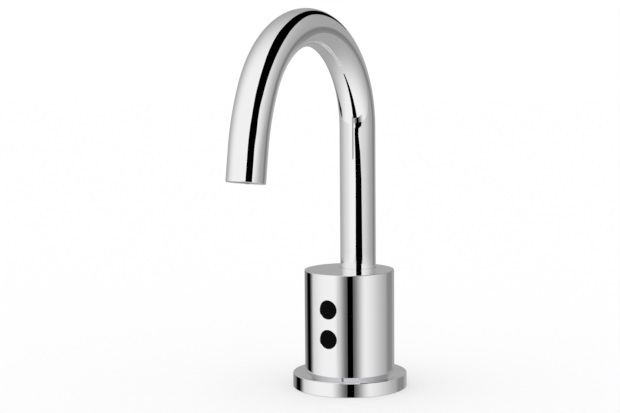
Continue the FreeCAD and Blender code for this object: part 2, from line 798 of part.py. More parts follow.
def valve_body():
    """Cast and machined brass body: foot, disc, valve tower, inlet tower and spout socket."""
    lug_back = "leg_back - spigot_radius"
    solid = joined(
        "ValveBlank",
        rod("Foot", FOOT_RADIUS, "0", "disc_top"),
        rod("Disc", "disc_radius", "shoulder_height", "disc_top"),
        rod("ValveTower", "valve_radius", TOWER_FOOT, "valve_top", VALVE_X, VALVE_Y),
        rod("InletTower", "inlet_tower", TOWER_FOOT, "inlet_top", INLET_X, INLET_Y),
        rod("SocketTower", SOCKET_OUTER, TOWER_FOOT, SOCKET_TOP, "0", "leg_back"),
        block("Web", (VALVE_X, INLET_X), (f"{VALVE_Y} - web_half", f"{VALVE_Y} + web_half"),
              ("disc_top - tool_overrun", "inlet_top")),
        block("Lug", ("0 - tab_half", "tab_half"), ("0 - lug_front", lug_back),
              (f"{BRACKET_LEVEL} - lug_depth", BRACKET_LEVEL)),
    )
    nozzle_room = cut_away(
        "NozzleRoom",
        rod("Chamber", "chamber_radius", "chamber_floor", CHAMBER_TOP, VALVE_X, VALVE_Y),
        rod("Nozzle", NOZZLE_OUTER, "chamber_floor", "nozzle_top", VALVE_X, VALVE_Y),
    )
    tools = [
        nozzle_room,
        rod("BonnetHole", COUNTERBORE_RADIUS, CHAMBER_TOP, "valve_top + tool_overrun", VALVE_X, VALVE_Y),
        rod("NozzleBore", "nozzle_bore", DRILL_END, "nozzle_top + tool_overrun", VALVE_X, VALVE_Y),
        outlet_channel(),
        rod("Riser", "riser_radius", DRILL_END, f"{SOCKET_FLOOR} + tool_overrun", "0", "leg_back"),
        rod("Socket", SOCKET_BORE, SOCKET_FLOOR, f"{SOCKET_TOP} + tool_overrun", "0", "leg_back"),
        rod("NippleHole", NIPPLE_HOLE, "0 - tool_overrun", "nipple_height", INLET_X, INLET_Y),
        rod("InletRoom", "inlet_chamber", "nipple_height - tool_overrun",
            "feed_level + feed_radius + drill_run", INLET_X, INLET_Y),
        rod_along_x("Feed", "feed_radius", f"{VALVE_X} + {NOZZLE_OUTER} + tool_overrun", INLET_X,
                    VALVE_Y, "feed_level"),
        rod("GlandHole", "gland_radius", "0 - tool_overrun", "disc_top + tool_overrun",
            "gland_side", "gland_back"),
        rod("GlandLipHole", "gland_lip", "0 - tool_overrun", "lip_depth", "gland_side", "gland_back"),
        rod_along_y("StopHole", "screw_radius + thread_gap", "leg_back", "body_radius", "0", SLOT_LEVEL),
        rod("TabHole", "tab_screw + thread_gap", f"{BRACKET_LEVEL} - lug_depth + tool_overrun",
            f"{BRACKET_LEVEL} + tool_overrun", "0", "0 - tab_screw_front"),
    ]
    for name, side in (("Front", "0 - stud_spread / 2"), ("Back", "stud_spread / 2")):
        tools.append(rod("Stud" + name, "stud_radius", "0 - tool_overrun", "stud_depth", "0", side))
    return finish(cut_away("ValveBody", solid, *tools), "valve_body")


def retaining_screw():
    """Grub screw at the back: holds the shell, and its dog end stops the spout's swing."""
    tail = "body_radius - screw_sunk"
    tip = "leg_back + spigot_radius - slot_depth + stop_gap"
    shank_end = "leg_back + spigot_radius + stop_gap"
    shank = rod_along_y("ScrewShank", "screw_radius", shank_end, tail, "0", SLOT_LEVEL)
    dog = rod_along_y("ScrewDog", "stop_radius", tip, shank_end, "0", SLOT_LEVEL)
    key = doc.addObject("Part::Prism", "ScrewKey")
    key.Polygon = 6
    bind(key, "Circumradius", "key_size / sqrt(3)")
    bind(key, "Height", "key_depth + tool_overrun")
    key.Placement.Rotation = FreeCAD.Rotation(FreeCAD.Vector(1, 0, 0), -90)
    place(key, "0", f"{tail} - key_depth", SLOT_LEVEL)
    screw = cut_away("RetainingScrew", joined("ScrewBlank", shank, dog), key)
    return finish(screw, "retaining_screw")


def inlet_nipple():
    """Brass insert with the hose socket below and the check valve's seat above."""
    ledge = "(filter_radius - filter_ledge)"
    corners = [
        ("hose_radius", "0"),
        ("nipple_radius", "0"),
        ("nipple_radius", "nipple_height"),
        ("cage_radius", "nipple_height"),
        ("cage_radius", CHECK_FLOOR),
        ("filter_radius", CHECK_FLOOR),
        ("filter_radius", FILTER_LOW),
        (ledge, FILTER_LOW),
        (ledge, "hose_depth"),
        ("hose_radius", "hose_depth"),
    ]
    return finish(turned("Nipple", corners, INLET_X, INLET_Y), "inlet_nipple")


def inlet_filter():
    """Perforated stainless disc under the check valve."""
    body = doc.addObject("PartDesign::Body", "Filter")
    plate = sketch_on(body, "XY_Plane", "FilterPlate")
    circle(plate, "filter_radius - rest_gap")
    pad = body.newObject("PartDesign::Pad", "FilterPad")
    pad.Profile = plate
    bind(pad, "Length", "filter_thickness - filter_step - rest_gap")
    body.Tip = pad
    for count, ring_name, reach in ((6, "Inner", "filter_pitch"), (12, "Outer", "filter_pitch * 2")):
        spot = sketch_on(body, "XY_Plane", f"Filter{ring_name}Spot")
        circle(spot, "filter_hole", reach, "0")
        hole = body.newObject("PartDesign::Pocket", f"Filter{ring_name}Hole")
        hole.Profile = spot
        hole.Type = "ThroughAll"
        hole.Reversed = True
        body.Tip = hole
        doc.recompute()
        pattern = body.newObject("PartDesign::PolarPattern", f"Filter{ring_name}Ring")
        pattern.Originals = [hole]
        pattern.Axis = (plate, ["N_Axis"])
        pattern.Angle = 360
        pattern.Occurrences = count
        body.Tip = pattern
    return finish(place(body, INLET_X, INLET_Y, FILTER_LOW), "inlet_filter")


def check_valve():
    """Spring-loaded check valve: cage, moving poppet with its seal, and spring."""
    guide = "(stem_radius + stem_gap)"
    shell = turned("CheckCage", [
        ("port_radius", CHECK_FLOOR),
        ("cage_radius", CHECK_FLOOR),
        ("cage_radius", CAGE_TOP),
        (guide, CAGE_TOP),
        (guide, CAGE_ROOF),
        (CAGE_BORE, CAGE_ROOF),
        (CAGE_BORE, CAGE_SEAT),
        ("port_radius", CAGE_SEAT),
    ], INLET_X, INLET_Y)
    ports = []
    reach = f"(({CAGE_BORE} + {guide}) / 2)"
    for turn in range(0, 360, 90):
        x = f"{INLET_X} + {reach} * cos({turn}deg)"
        y = f"{INLET_Y} + {reach} * sin({turn}deg)"
        ports.append(rod(f"CagePort{turn}", "stem_radius", f"{CAGE_ROOF} - tool_overrun",
                         f"{CAGE_TOP} + tool_overrun", x, y))
    finish(cut_away("CheckCagePorted", shell, *ports), "check_valve_cage")
    plate_low = f"({CAGE_SEAT} + rest_gap + poppet_seal)"
    poppet = turned("Poppet", [
        ("0", plate_low),
        ("poppet_radius", plate_low),
        ("poppet_radius", POPPET_TOP),
        ("stem_radius", POPPET_TOP),
        ("stem_radius", f"{POPPET_TOP} + stem_length"),
        ("0", f"{POPPET_TOP} + stem_length"),
    ], INLET_X, INLET_Y)
    finish(poppet, "check_valve_poppet")
    seal_low = f"({CAGE_SEAT} + rest_gap)"
    seal = disc("PoppetSeal", "poppet_radius - poppet_lip", seal_low, plate_low, INLET_X, INLET_Y)
    finish(seal, "check_valve_seal")
    coil_inner = f"({guide} + check_spring_gap)"
    coil_outer = f"({coil_inner} + spring_wire)"
    spring = ring("CheckSpring", coil_inner, coil_outer, POPPET_TOP, CAGE_ROOF, INLET_X, INLET_Y)
    finish(spring, "check_valve_spring")


def cable_gland():
    """Rubber grommet in the underside, through which the supply lead leaves."""
    corners = [
        ("gland_bore", "0"),
        ("gland_lip", "0"),
        ("gland_lip", "lip_depth"),
        ("gland_radius", "lip_depth"),
        ("gland_radius", "gland_length"),
        ("gland_bore", "gland_length"),
    ]
    return finish(turned("Gland", corners, "gland_side", "gland_back"), "cable_gland")


# ---------------------------------------------------------------------------------------------
# Pilot valve and solenoid
# ---------------------------------------------------------------------------------------------
def servo_piston():
    """Plastic piston with a pilot hole, its rubber cup and its seat washer."""
    cup_low = f"({PISTON_LOW} + cup_drop)"
    cup_high = f"({cup_low} + cup_height)"
    cup_floor = f"({PISTON_RADIUS} - cup_depth)"
    piston = turned("Piston", [
        ("pilot_radius", PISTON_LOW),
        (PISTON_RADIUS, PISTON_LOW),
        (PISTON_RADIUS, cup_low),
        (cup_floor, cup_low),
        (cup_floor, cup_high),
        (PISTON_RADIUS, cup_high),
        (PISTON_RADIUS, PISTON_HIGH),
        ("pilot_nub", PISTON_HIGH),
        ("pilot_nub", NUB_TOP),
        ("pilot_radius", NUB_TOP),
    ], VALVE_X, VALVE_Y)
    finish(piston, "servo_piston")
    cup = ring("PistonCup", cup_floor, "chamber_radius - cup_gap", cup_low, cup_high, VALVE_X, VALVE_Y)
    finish(cup, "piston_cup_seal")
    washer = ring("SeatWasher", "pilot_nub", "seat_radius", "nozzle_top + rest_gap", PISTON_LOW,
                  VALVE_X, VALVE_Y)
    finish(washer, "piston_seat_washer")


def valve_bonnet():
    """Cover screwed into the valve tower, with a seal groove and the hole for the sleeve."""
    groove_low = f"({CHAMBER_TOP} + bonnet_land)"
    groove_high = f"({groove_low} + 2 * bonnet_seal)"
    groove_floor = "(bonnet_radius - 2 * bonnet_seal + slip_gap)"
    corners = [
        (SLEEVE_OUTER, CHAMBER_TOP),
        ("bonnet_radius", CHAMBER_TOP),
        ("bonnet_radius", groove_low),
        (groove_floor, groove_low),
        (groove_floor, groove_high),
        ("bonnet_radius", groove_high),
        ("bonnet_radius", "valve_top"),
        ("bonnet_flange", "valve_top"),
        ("bonnet_flange", CAN_LOW),
        (SLEEVE_OUTER, CAN_LOW),
    ]
    finish(turned("Bonnet", corners, VALVE_X, VALVE_Y), "valve_bonnet")
    section = f"(({COUNTERBORE_RADIUS} - {groove_floor}) / 2 - seal_seat)"
    centre = f"(({COUNTERBORE_RADIUS} + {groove_floor}) / 2)"
    seal = seal_ring("BonnetSeal", section, centre, f"{groove_low} + bonnet_seal", VALVE_X, VALVE_Y)
    finish(seal, "bonnet_o_ring")


def armature_group():
    """Sliding iron armature with a rubber face, its return spring, sleeve and fixed core."""
    recess = f"({ARMATURE_HIGH} - spring_recess)"
    seal_top = f"({ARMATURE_LOW} + seal_recess)"
    armature = turned("Armature", [
        ("seal_disc", ARMATURE_LOW),
        ("armature_radius", ARMATURE_LOW),
        ("armature_radius", ARMATURE_HIGH),
        ("spring_radius + slip_gap", ARMATURE_HIGH),
        ("spring_radius + slip_gap", recess),
        ("0", recess),
        ("0", seal_top),
        ("seal_disc", seal_top),
    ], VALVE_X, VALVE_Y)
    finish(armature, "armature")
    seal = disc("ArmatureSeal", "seal_disc", f"{ARMATURE_LOW} - armature_seal", seal_top, VALVE_X, VALVE_Y)
    finish(seal, "armature_seal")
    spring = ring("ArmatureSpring", "spring_radius - spring_wire", "spring_radius", recess, CORE_LOW,
                  VALVE_X, VALVE_Y)
    finish(spring, "armature_spring")
    sleeve = ring("Sleeve", SLEEVE_BORE, SLEEVE_OUTER, CHAMBER_TOP, "core_top", VALVE_X, VALVE_Y)
    finish(sleeve, "armature_sleeve")
    core = disc("Core", SLEEVE_BORE, CORE_LOW, "core_top", VALVE_X, VALVE_Y)
    finish(core, "fixed_core")


def solenoid():
    """Coil on its bobbin in a steel can, held by a nut, with the latching magnet on the core."""
    can_inner = "(can_radius - can_wall)"
    floor = f"({CAN_LOW} + can_plate)"
    roof = f"({CAN_HIGH} - can_plate)"
    finish(turned("Can", [
        (SLEEVE_OUTER, CAN_LOW),
        ("can_radius", CAN_LOW),
        ("can_radius", roof),
        (can_inner, roof),
        (can_inner, floor),
        (SLEEVE_OUTER, floor),
    ], VALVE_X, VALVE_Y), "coil_can")
    finish(ring("CanPlate", SLEEVE_OUTER, "can_radius", roof, CAN_HIGH, VALVE_X, VALVE_Y), "coil_top_plate")
    hub = f"({CAN_BORE} + bobbin_wall)"
    cheek = f"({can_inner} - bobbin_gap)"
    low_cheek = f"({floor} + bobbin_cheek)"
    high_cheek = f"({roof} - bobbin_cheek)"
    finish(turned("Bobbin", [
        (CAN_BORE, floor),
        (cheek, floor),
        (cheek, low_cheek),
        (hub, low_cheek),
        (hub, high_cheek),
        (cheek, high_cheek),
        (cheek, roof),
        (CAN_BORE, roof),
    ], VALVE_X, VALVE_Y), "coil_bobbin")
    winding = ring("Winding", hub, f"{cheek} - winding_gap", low_cheek, high_cheek, VALVE_X, VALVE_Y)
    finish(winding, "coil_winding")
    nut = doc.addObject("Part::Prism", "NutBlank")
    nut.Polygon = 6
    bind(nut, "Circumradius", "nut_radius")
    bind(nut, "Height", f"core_top - {CAN_HIGH}")
    place(nut, VALVE_X, VALVE_Y, CAN_HIGH)
    hole = rod("NutHole", SLEEVE_OUTER, f"{CAN_HIGH} - tool_overrun", "core_top + tool_overrun",
               VALVE_X, VALVE_Y)
    finish(cut_away("CoilNut", nut, hole), "coil_nut")
    magnet = disc("Magnet", "magnet_radius", "core_top", "core_top + magnet_height", VALVE_X, VALVE_Y)
    finish(magnet, "latching_magnet")


def solenoid_lead():
    """Two-core lead from the coil can to the plug on the sensor board, with one bend."""
    start = FreeCAD.Vector(value(f"{VALVE_X} + can_radius"), value(VALVE_Y), value("lead_level"))
    corner = FreeCAD.Vector(value("lead_side"), start.y, start.z)
    end = FreeCAD.Vector(corner.x, -value(f"{BOARD_BACK} - plug_depth"), start.z)
    bend = value("lead_bend")
    radius = value("lead_radius")
    into = corner - FreeCAD.Vector(bend, 0, 0)
    out = corner - FreeCAD.Vector(0, bend, 0)
    half = bend * (1 - math.sqrt(0.5))
    middle = corner + FreeCAD.Vector(-half, -half, 0)
    path = Part.Wire([
        Part.LineSegment(start, into).toShape(),
        Part.Arc(into, middle, out).toShape(),
        Part.LineSegment(out, end).toShape(),
    ])
    section = Part.Wire(Part.Circle(start, FreeCAD.Vector(1, 0, 0), radius).toShape())
    lead = doc.addObject("Part::Feature", "SolenoidLead")
    lead.Shape = path.makePipeShell([section], True, True)
    expected = path.Length * math.pi * radius ** 2
    print("solenoid lead volume over section times length:", round(lead.Shape.Volume / expected, 4))
    return finish(lead, "solenoid_lead")


# ---------------------------------------------------------------------------------------------
# Sensor
# ---------------------------------------------------------------------------------------------
def sensor_windows():
    """Dark windows flush with the shell, each pushed in from outside against a flat seal."""
    for name, level in (("Upper", LENS_UPPER), ("Lower", LENS_LOWER)):
        lens = shared(
            "Lens" + name,
            rod_along_y("LensRod" + name, "lens_radius", "0 - body_radius", f"0 - {LENS_BACK}", "0", level),
            rod("LensTrim" + name, "body_radius - lens_sunk",
                f"{level} - 2 * lens_radius", f"{level} + 2 * lens_radius"),
        )
        finish(lens, "sensor_lens_" + name.lower())
        seal = cut_away(
            "LensSeal" + name,
            rod_along_y("SealRod" + name, "lens_radius", f"0 - {LENS_BACK}", LENS_STOP, "0", level),
            rod_along_y("SealHole" + name, "lens_seal_bore", "0 - body_radius", "0", "0", level),
        )
        finish(seal, "lens_seal_" + name.lower())


def post_places():
    return (("Left", "0 - post_spread / 2"), ("Right", "post_spread / 2"))


def sensor_housing():
    """Black moulded case that follows the shell's bore, with a light tube behind each window."""
    outer = shared(
        "CaseBlank",
        block("CaseBlock", ("0 - case_half", "case_half"), ("0 - body_radius", f"0 - {COVER_FRONT}"),
              (CASE_LOW, CASE_HIGH)),
        rod("CaseTrim", f"{SHELL_BORE} - case_gap", CASE_LOW, CASE_HIGH),
    )
    inner_half = "(case_half - case_wall)"
    room = block("CaseRoom", (f"0 - {inner_half}", inner_half), (f"0 - {CASE_FLOOR}", "0"),
                 (f"{CASE_LOW} + case_wall", f"{CASE_HIGH} - case_wall"))
    holes = [room]
    front = "0 - body_radius"
    board = f"0 - {BOARD_FRONT}"
    pocket = "lens_radius + thread_gap"
    for name, level in (("Upper", LENS_UPPER), ("Lower", LENS_LOWER)):
        holes.append(rod_along_y("Tube" + name, "light_tube", front, board, "0", level))
        holes.append(rod_along_y("Pocket" + name, pocket, front, LENS_STOP, "0", level))
    posts = []
    bores = []
    foot = f"0 - {CASE_FLOOR} - tool_overrun"
    bore_end = f"0 - {BRACKET_BACK} - screw_depth"
    for name, x in post_places():
        posts.append(rod_along_y("Post" + name, "post_radius", foot, board, x, CASE_MIDDLE))
        bores.append(rod_along_y("PostBore" + name, "small_screw + thread_gap", bore_end, "0",
                                 x, CASE_MIDDLE))
    case = joined("CaseWithPosts", cut_away("CaseShell", outer, *holes), *posts)
    return finish(cut_away("Case", case, *bores), "sensor_housing")


def drilled_plate(name, half, low, high, front, back, *more_holes):
    """A plate across the front of the body with the two case screws' holes through it."""
    plate = block(name + "Plate", (f"0 - ({half})", half), (f"0 - ({front})", f"0 - ({back})"), (low, high))
    holes = [
        rod_along_y(name + "Hole" + side, "small_screw + slip_gap", "0 - body_radius", "0", x, CASE_MIDDLE)
        for side, x in post_places()
    ]
    return cut_away(name, plate, *holes, *more_holes)


def sensor_boards():
    """Printed board with its diodes, chip and plug, and the cover behind it."""
    half = "(case_half - case_wall - board_gap)"
    low = f"{CASE_LOW} + case_wall + board_gap"
    high = f"{CASE_HIGH} - case_wall - board_gap"
    finish(drilled_plate("Board", half, low, high, BOARD_FRONT, BOARD_BACK), "sensor_board")
    board = f"0 - {BOARD_FRONT}"
    lead_hole = rod_along_y("LeadHole", "lead_radius + slip_gap", board, "0", "lead_side", "lead_level")
    cover = drilled_plate("Cover", "case_half", CASE_LOW, CASE_HIGH, COVER_FRONT, COVER_BACK, lead_hole)
    finish(cover, "sensor_back_cover")
    tip = f"({BOARD_FRONT} + diode_length - diode_radius)"
    diodes = (("Emitter", "ir_emitter", LENS_UPPER), ("Receiver", "ir_receiver", LENS_LOWER))
    for name, label, level in diodes:
        stem = rod_along_y(name + "Stem", "diode_radius", f"0 - {tip}", board, "0", level)
        dome = doc.addObject("Part::Sphere", name + "Dome")
        dome.Angle1 = 0
        bind(dome, "Radius", "diode_radius")
        dome.Placement.Rotation = FreeCAD.Rotation(FreeCAD.Vector(1, 0, 0), 90)
        place(dome, "0", f"0 - {tip}", level)
        finish(joined(name, stem, dome), label)
    back = f"0 - {BOARD_BACK}"
    chip = block("Chip", ("0 - chip_size / 2", "chip_size / 2"), (back, f"{back} + chip_height"),
                 (f"{LENS_UPPER} - chip_size / 2", f"{LENS_UPPER} + chip_size / 2"))
    finish(chip, "control_chip")
    plug = block("Plug", (f"{half} - plug_width", half),
                 (back, f"{back} + plug_depth"),
                 ("lead_level - plug_height / 2", "lead_level + plug_height / 2"))
    finish(plug, "board_connector")


def sensor_bracket():
    """Bent steel bracket from the socket tower's lug down the back of the sensor case."""
    plate = drilled_plate("BracketFront", "bracket_half", BRACKET_LOW, f"{BRACKET_LEVEL} + bracket_thickness",
                          COVER_BACK, BRACKET_BACK)
    tab = block("BracketTab", ("0 - tab_half", "tab_half"), (f"0 - ({COVER_BACK})", "tab_back"),
                (BRACKET_LEVEL, f"{BRACKET_LEVEL} + bracket_thickness"))
    hole = rod("BracketHole", "tab_screw + slip_gap", f"{BRACKET_LEVEL} - tool_overrun",
               f"{BRACKET_LEVEL} + bracket_thickness + tool_overrun", "0", "0 - tab_screw_front")
    return finish(cut_away("Bracket", joined("BracketBlank", plate, tab), hole), "sensor_bracket")


def small_screws():
    """The two screws of the sensor case, and the one that holds its bracket."""
    back = f"0 - {BRACKET_BACK}"
    tip = f"{back} - screw_depth + screw_end"
    pair = []
    for side, x in post_places():
        shank = rod_along_y("CaseShank" + side, "small_screw", tip, back, x, CASE_MIDDLE)
        head = rod_along_y("CaseHead" + side, "small_head", back, f"{back} + small_head_height",
                           x, CASE_MIDDLE)
        pair.append(joined("CaseScrew" + side, shank, head))
    group = doc.addObject("Part::Compound", "CaseScrews")
    group.Links = pair
    finish(group, "sensor_screws")
    level = f"({BRACKET_LEVEL} + bracket_thickness)"
    tip = f"{BRACKET_LEVEL} - lug_depth + tool_overrun + screw_end"
    shank = rod("TabShank", "tab_screw", tip, level, "0", "0 - tab_screw_front")
    head = rod("TabHead", "tab_head", level, f"{level} + tab_head_height", "0", "0 - tab_screw_front")
    finish(joined("TabScrew", shank, head), "bracket_screw")


# ---------------------------------------------------------------------------------------------
# Build, test and write
# ---------------------------------------------------------------------------------------------
SECTIONS = [
    base_flange, base_gasket, body_collar, body_shell,
    spout_tube, spout_spigot, spigot_seals, spout_bearing_ring,
    outlet_insert, aerator_housing, aerator_grid, aerator_washer,
    valve_body, retaining_screw, inlet_nipple, inlet_filter, check_valve, cable_gland,
    servo_piston, valve_bonnet, armature_group, solenoid, solenoid_lead,
    sensor_windows, sensor_housing, sensor_boards, sensor_bracket, small_screws,
]
for section in SECTIONS:
    section()
doc.recompute()

for item in doc.Objects:
    if "Invalid" in item.State or "Error" in item.State:
        raise RuntimeError(f"{item.Label} failed: {item.State}")

nodes = [item for item in doc.Objects if re.fullmatch(r"[a-z]+(_[a-z]+)*", item.Label)]
os.makedirs("parts", exist_ok=True)
for item in nodes:
    shape = item.Shape
    if shape.isNull() or not shape.isValid() or not shape.Solids:
        raise RuntimeError(f"{item.Label} has no valid solid")
    shape.exportStep(f"parts/{item.Label}.step")
print(len(nodes), "sub-parts written")
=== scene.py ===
import math

import bmesh
import bpy
from mathutils import Matrix, Vector


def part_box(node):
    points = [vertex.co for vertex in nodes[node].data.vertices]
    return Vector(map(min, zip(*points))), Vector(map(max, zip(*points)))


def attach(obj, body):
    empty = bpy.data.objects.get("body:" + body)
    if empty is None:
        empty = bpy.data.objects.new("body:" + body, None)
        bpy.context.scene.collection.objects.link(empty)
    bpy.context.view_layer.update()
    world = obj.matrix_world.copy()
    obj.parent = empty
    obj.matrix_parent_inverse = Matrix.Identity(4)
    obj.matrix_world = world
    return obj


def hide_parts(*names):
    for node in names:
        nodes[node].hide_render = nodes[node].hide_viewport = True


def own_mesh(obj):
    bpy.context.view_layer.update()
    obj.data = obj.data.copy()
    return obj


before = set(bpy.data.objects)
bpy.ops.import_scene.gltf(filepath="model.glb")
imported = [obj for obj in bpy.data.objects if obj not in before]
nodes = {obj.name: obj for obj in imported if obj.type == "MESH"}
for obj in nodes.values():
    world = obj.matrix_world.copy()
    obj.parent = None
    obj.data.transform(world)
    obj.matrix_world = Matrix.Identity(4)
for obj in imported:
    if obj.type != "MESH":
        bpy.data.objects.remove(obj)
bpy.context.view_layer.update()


# ---- Base gasket -----------------------------------------------------------------------------------------
# A flat ring of moulded EPDM rubber that seals the tap to the counter. It lies in a groove under the flange,
# flush with its lower face, so only a dull black ring shows from below.
def linear(hex_colour):
    """An sRGB colour such as '1c1c1d' as the linear colour, with alpha, that a shader takes."""
    channels = [int(hex_colour[at : at + 2], 16) / 255 for at in (0, 2, 4)]
    bent = [c / 12.92 if c <= 0.04045 else ((c + 0.055) / 1.055) ** 2.4 for c in channels]
    return (*bent, 1.0)


def add(tree, kind, sockets=None, **settings):
    """Adds one node, makes its settings, and fills its inputs with values or with other nodes' outputs."""
    made = tree.nodes.new(kind)
    for name, value in settings.items():
        setattr(made, name, value)
    for key, value in (sockets or {}).items():
        if isinstance(value, bpy.types.NodeSocket):
            tree.links.new(value, made.inputs[key])
        else:
            made.inputs[key].default_value = value
    return made


def blank_finish(name):
    """An empty material, its node tree, and the place of a surface point in the tap's own frame."""
    finish = bpy.data.materials.new(name)
    finish.use_nodes = True
    finish.node_tree.nodes.clear()
    place = add(finish.node_tree, "ShaderNodeTexCoord").outputs["Object"]
    return finish, finish.node_tree, place


def dress(finish, *names):
    """Gives solids of the frame their finish in place of the plain one they came with."""
    for name in names:
        for slot in nodes[name].material_slots:
            slot.material = finish


# Moulded EPDM rubber: a dull, nearly black skin with a faint grey bloom and the fine grain of the mould.
rubber, tree, place = blank_finish("moulded_epdm_rubber")
bloom = add(tree, "ShaderNodeTexNoise", {"Vector": place, "Scale": 1000 / 3.0, "Detail": 4.0})
tint = add(
    tree,
    "ShaderNodeMix",
    {"Factor": bloom.outputs["Fac"], 6: linear("141415"), 7: linear("2a2a2b")},
    data_type="RGBA",
)
# the mould's grain is about 0.05 mm and is drawn at 0.3 mm, so that it shows
grain = add(tree, "ShaderNodeTexNoise", {"Vector": place, "Scale": 1000 / 0.3, "Detail": 2.0})
relief = add(tree, "ShaderNodeBump", {"Height": grain.outputs["Fac"], "Strength": 0.35, "Distance": 0.00003})
skin = add(
    tree,
    "ShaderNodeBsdfPrincipled",
    {"Base Color": tint.outputs[2], "Roughness": 0.72, "IOR": 1.52, "Normal": relief.outputs["Normal"]},
)
add(tree, "ShaderNodeOutputMaterial", {"Surface": skin.outputs["BSDF"]})
dress(rubber, "base_gasket")


# ---- Base flange -----------------------------------------------------------------------------------------
# A round brass forging with a dished top. It is turned, polished on a buffing wheel, then plated with bright
# nickel and chrome, and it spreads the load of the tap over the counter.

# Bright chrome plate on polished brass: a cool mirror. The buffing leaves very faint clouds in the gloss,
# some 9 mm across, and nothing that the finger could feel.
chrome, tree, place = blank_finish("polished_chrome_plate")
clouds = add(tree, "ShaderNodeTexNoise", {"Vector": place, "Scale": 1000 / 9.0, "Detail": 3.0})
gloss = add(
    tree,
    "ShaderNodeMapRange",
    {"Value": clouds.outputs["Fac"], "From Min": 0.35, "From Max": 0.65, "To Min": 0.01, "To Max": 0.022},
)
plate = add(
    tree,
    "ShaderNodeBsdfPrincipled",
    {"Base Color": linear("f0f0f1"), "Metallic": 1.0, "Roughness": gloss.outputs["Result"]},
)
add(tree, "ShaderNodeOutputMaterial", {"Surface": plate.outputs["BSDF"]})
dress(chrome, "base_flange")


# ---- Valve body ------------------------------------------------------------------------------------------
# The brass casting inside the shell: a foot on the flange, the valve tower, the inlet tower and the spout's
# socket. It is left raw, so its underside is the one face of it that shows.

# Sand-cast brass, machined where parts seat: a warm, slightly dull yellow with darker patches and the fine
# pits of the sand.
cast_brass, tree, place = blank_finish("sand_cast_brass")
patches = add(tree, "ShaderNodeTexNoise", {"Vector": place, "Scale": 1000 / 6.0, "Detail": 5.0})
tint = add(
    tree,
    "ShaderNodeMix",
    {"Factor": patches.outputs["Fac"], 6: linear("b48d4a"), 7: linear("d9bb78")},
    data_type="RGBA",
)
# foundry sand is 0.2 mm and is drawn at 0.5 mm
sand = add(tree, "ShaderNodeTexVoronoi", {"Vector": place, "Scale": 1000 / 0.5})
relief = add(
    tree, "ShaderNodeBump", {"Height": sand.outputs["Distance"], "Strength": 0.3, "Distance": 0.00004}
)
metal = add(
    tree,
    "ShaderNodeBsdfPrincipled",
    {"Base Color": tint.outputs[2], "Metallic": 1.0, "Roughness": 0.42, "Normal": relief.outputs["Normal"]},
)
add(tree, "ShaderNodeOutputMaterial", {"Surface": metal.outputs["BSDF"]})
dress(cast_brass, "valve_body")


# ---- Inlet nipple, filter and check valve ----------------------------------------------------------------
# The nipple is turned from brass bar and screws up into the inlet tower; the hose screws into it from below.
# A pressed steel strainer and a spring-loaded check valve sit on its top.

# Turned brass bar: bright yellow, with the fine rings that the lathe tool leaves round the axis.
turned_brass, tree, place = blank_finish("turned_brass_bar")
# the tool's feed is 0.1 mm a turn and is drawn as rings 2.2 mm apart; waves repeat after 0.314 of their size
rings = add(
    tree,
    "ShaderNodeTexWave",
    {"Vector": place, "Scale": 1000 / 7.0, "Distortion": 0.3, "Detail": 1.0},
    bands_direction="Z",
)
relief = add(tree, "ShaderNodeBump", {"Height": rings.outputs["Fac"], "Strength": 0.2, "Distance": 0.00001})
stain = add(tree, "ShaderNodeTexNoise", {"Vector": place, "Scale": 1000 / 5.0, "Detail": 2.0})
tint = add(
    tree,
    "ShaderNodeMix",
    {"Factor": stain.outputs["Fac"], 6: linear("cfa85c"), 7: linear("e6c987")},
    data_type="RGBA",
)
metal = add(
    tree,
    "ShaderNodeBsdfPrincipled",
    {"Base Color": tint.outputs[2], "Metallic": 1.0, "Roughness": 0.25, "Normal": relief.outputs["Normal"]},
)
add(tree, "ShaderNodeOutputMaterial", {"Surface": metal.outputs["BSDF"]})
dress(turned_brass, "inlet_nipple", "spout_spigot", "outlet_thread_ring")

# Stainless steel, drawn or turned: a soft grey shine with fine scratches along the drawing direction.
steel, tree, place = blank_finish("drawn_stainless_steel")
stretched = add(tree, "ShaderNodeMapping", {"Vector": place, "Scale": (1.0, 1.0, 0.12)})
# the drawing scratches are 0.02 mm apart and are drawn at 0.25 mm
scratches = add(
    tree, "ShaderNodeTexNoise", {"Vector": stretched.outputs["Vector"], "Scale": 1000 / 0.25, "Detail": 2.0}
)
gloss = add(
    tree,
    "ShaderNodeMapRange",
    {"Value": scratches.outputs["Fac"], "From Min": 0.3, "From Max": 0.7, "To Min": 0.18, "To Max": 0.34},
)
relief = add(
    tree, "ShaderNodeBump", {"Height": scratches.outputs["Fac"], "Strength": 0.15, "Distance": 0.00001}
)
metal = add(
    tree,
    "ShaderNodeBsdfPrincipled",
    {
        "Base Color": linear("c9c8c5"),
        "Metallic": 1.0,
        "Roughness": gloss.outputs["Result"],
        "Normal": relief.outputs["Normal"],
    },
)
add(tree, "ShaderNodeOutputMaterial", {"Surface": metal.outputs["BSDF"]})
dress(steel, "inlet_filter")

# Moulded acetal: a milky white, slightly waxy plastic that lets a little light in.
acetal, tree, place = blank_finish("moulded_white_acetal")
flow = add(tree, "ShaderNodeTexNoise", {"Vector": place, "Scale": 1000 / 4.0, "Detail": 2.0})
tint = add(
    tree,
    "ShaderNodeMix",
    {"Factor": flow.outputs["Fac"], 6: linear("e4e3dc"), 7: linear("f1f0ea")},
    data_type="RGBA",
)
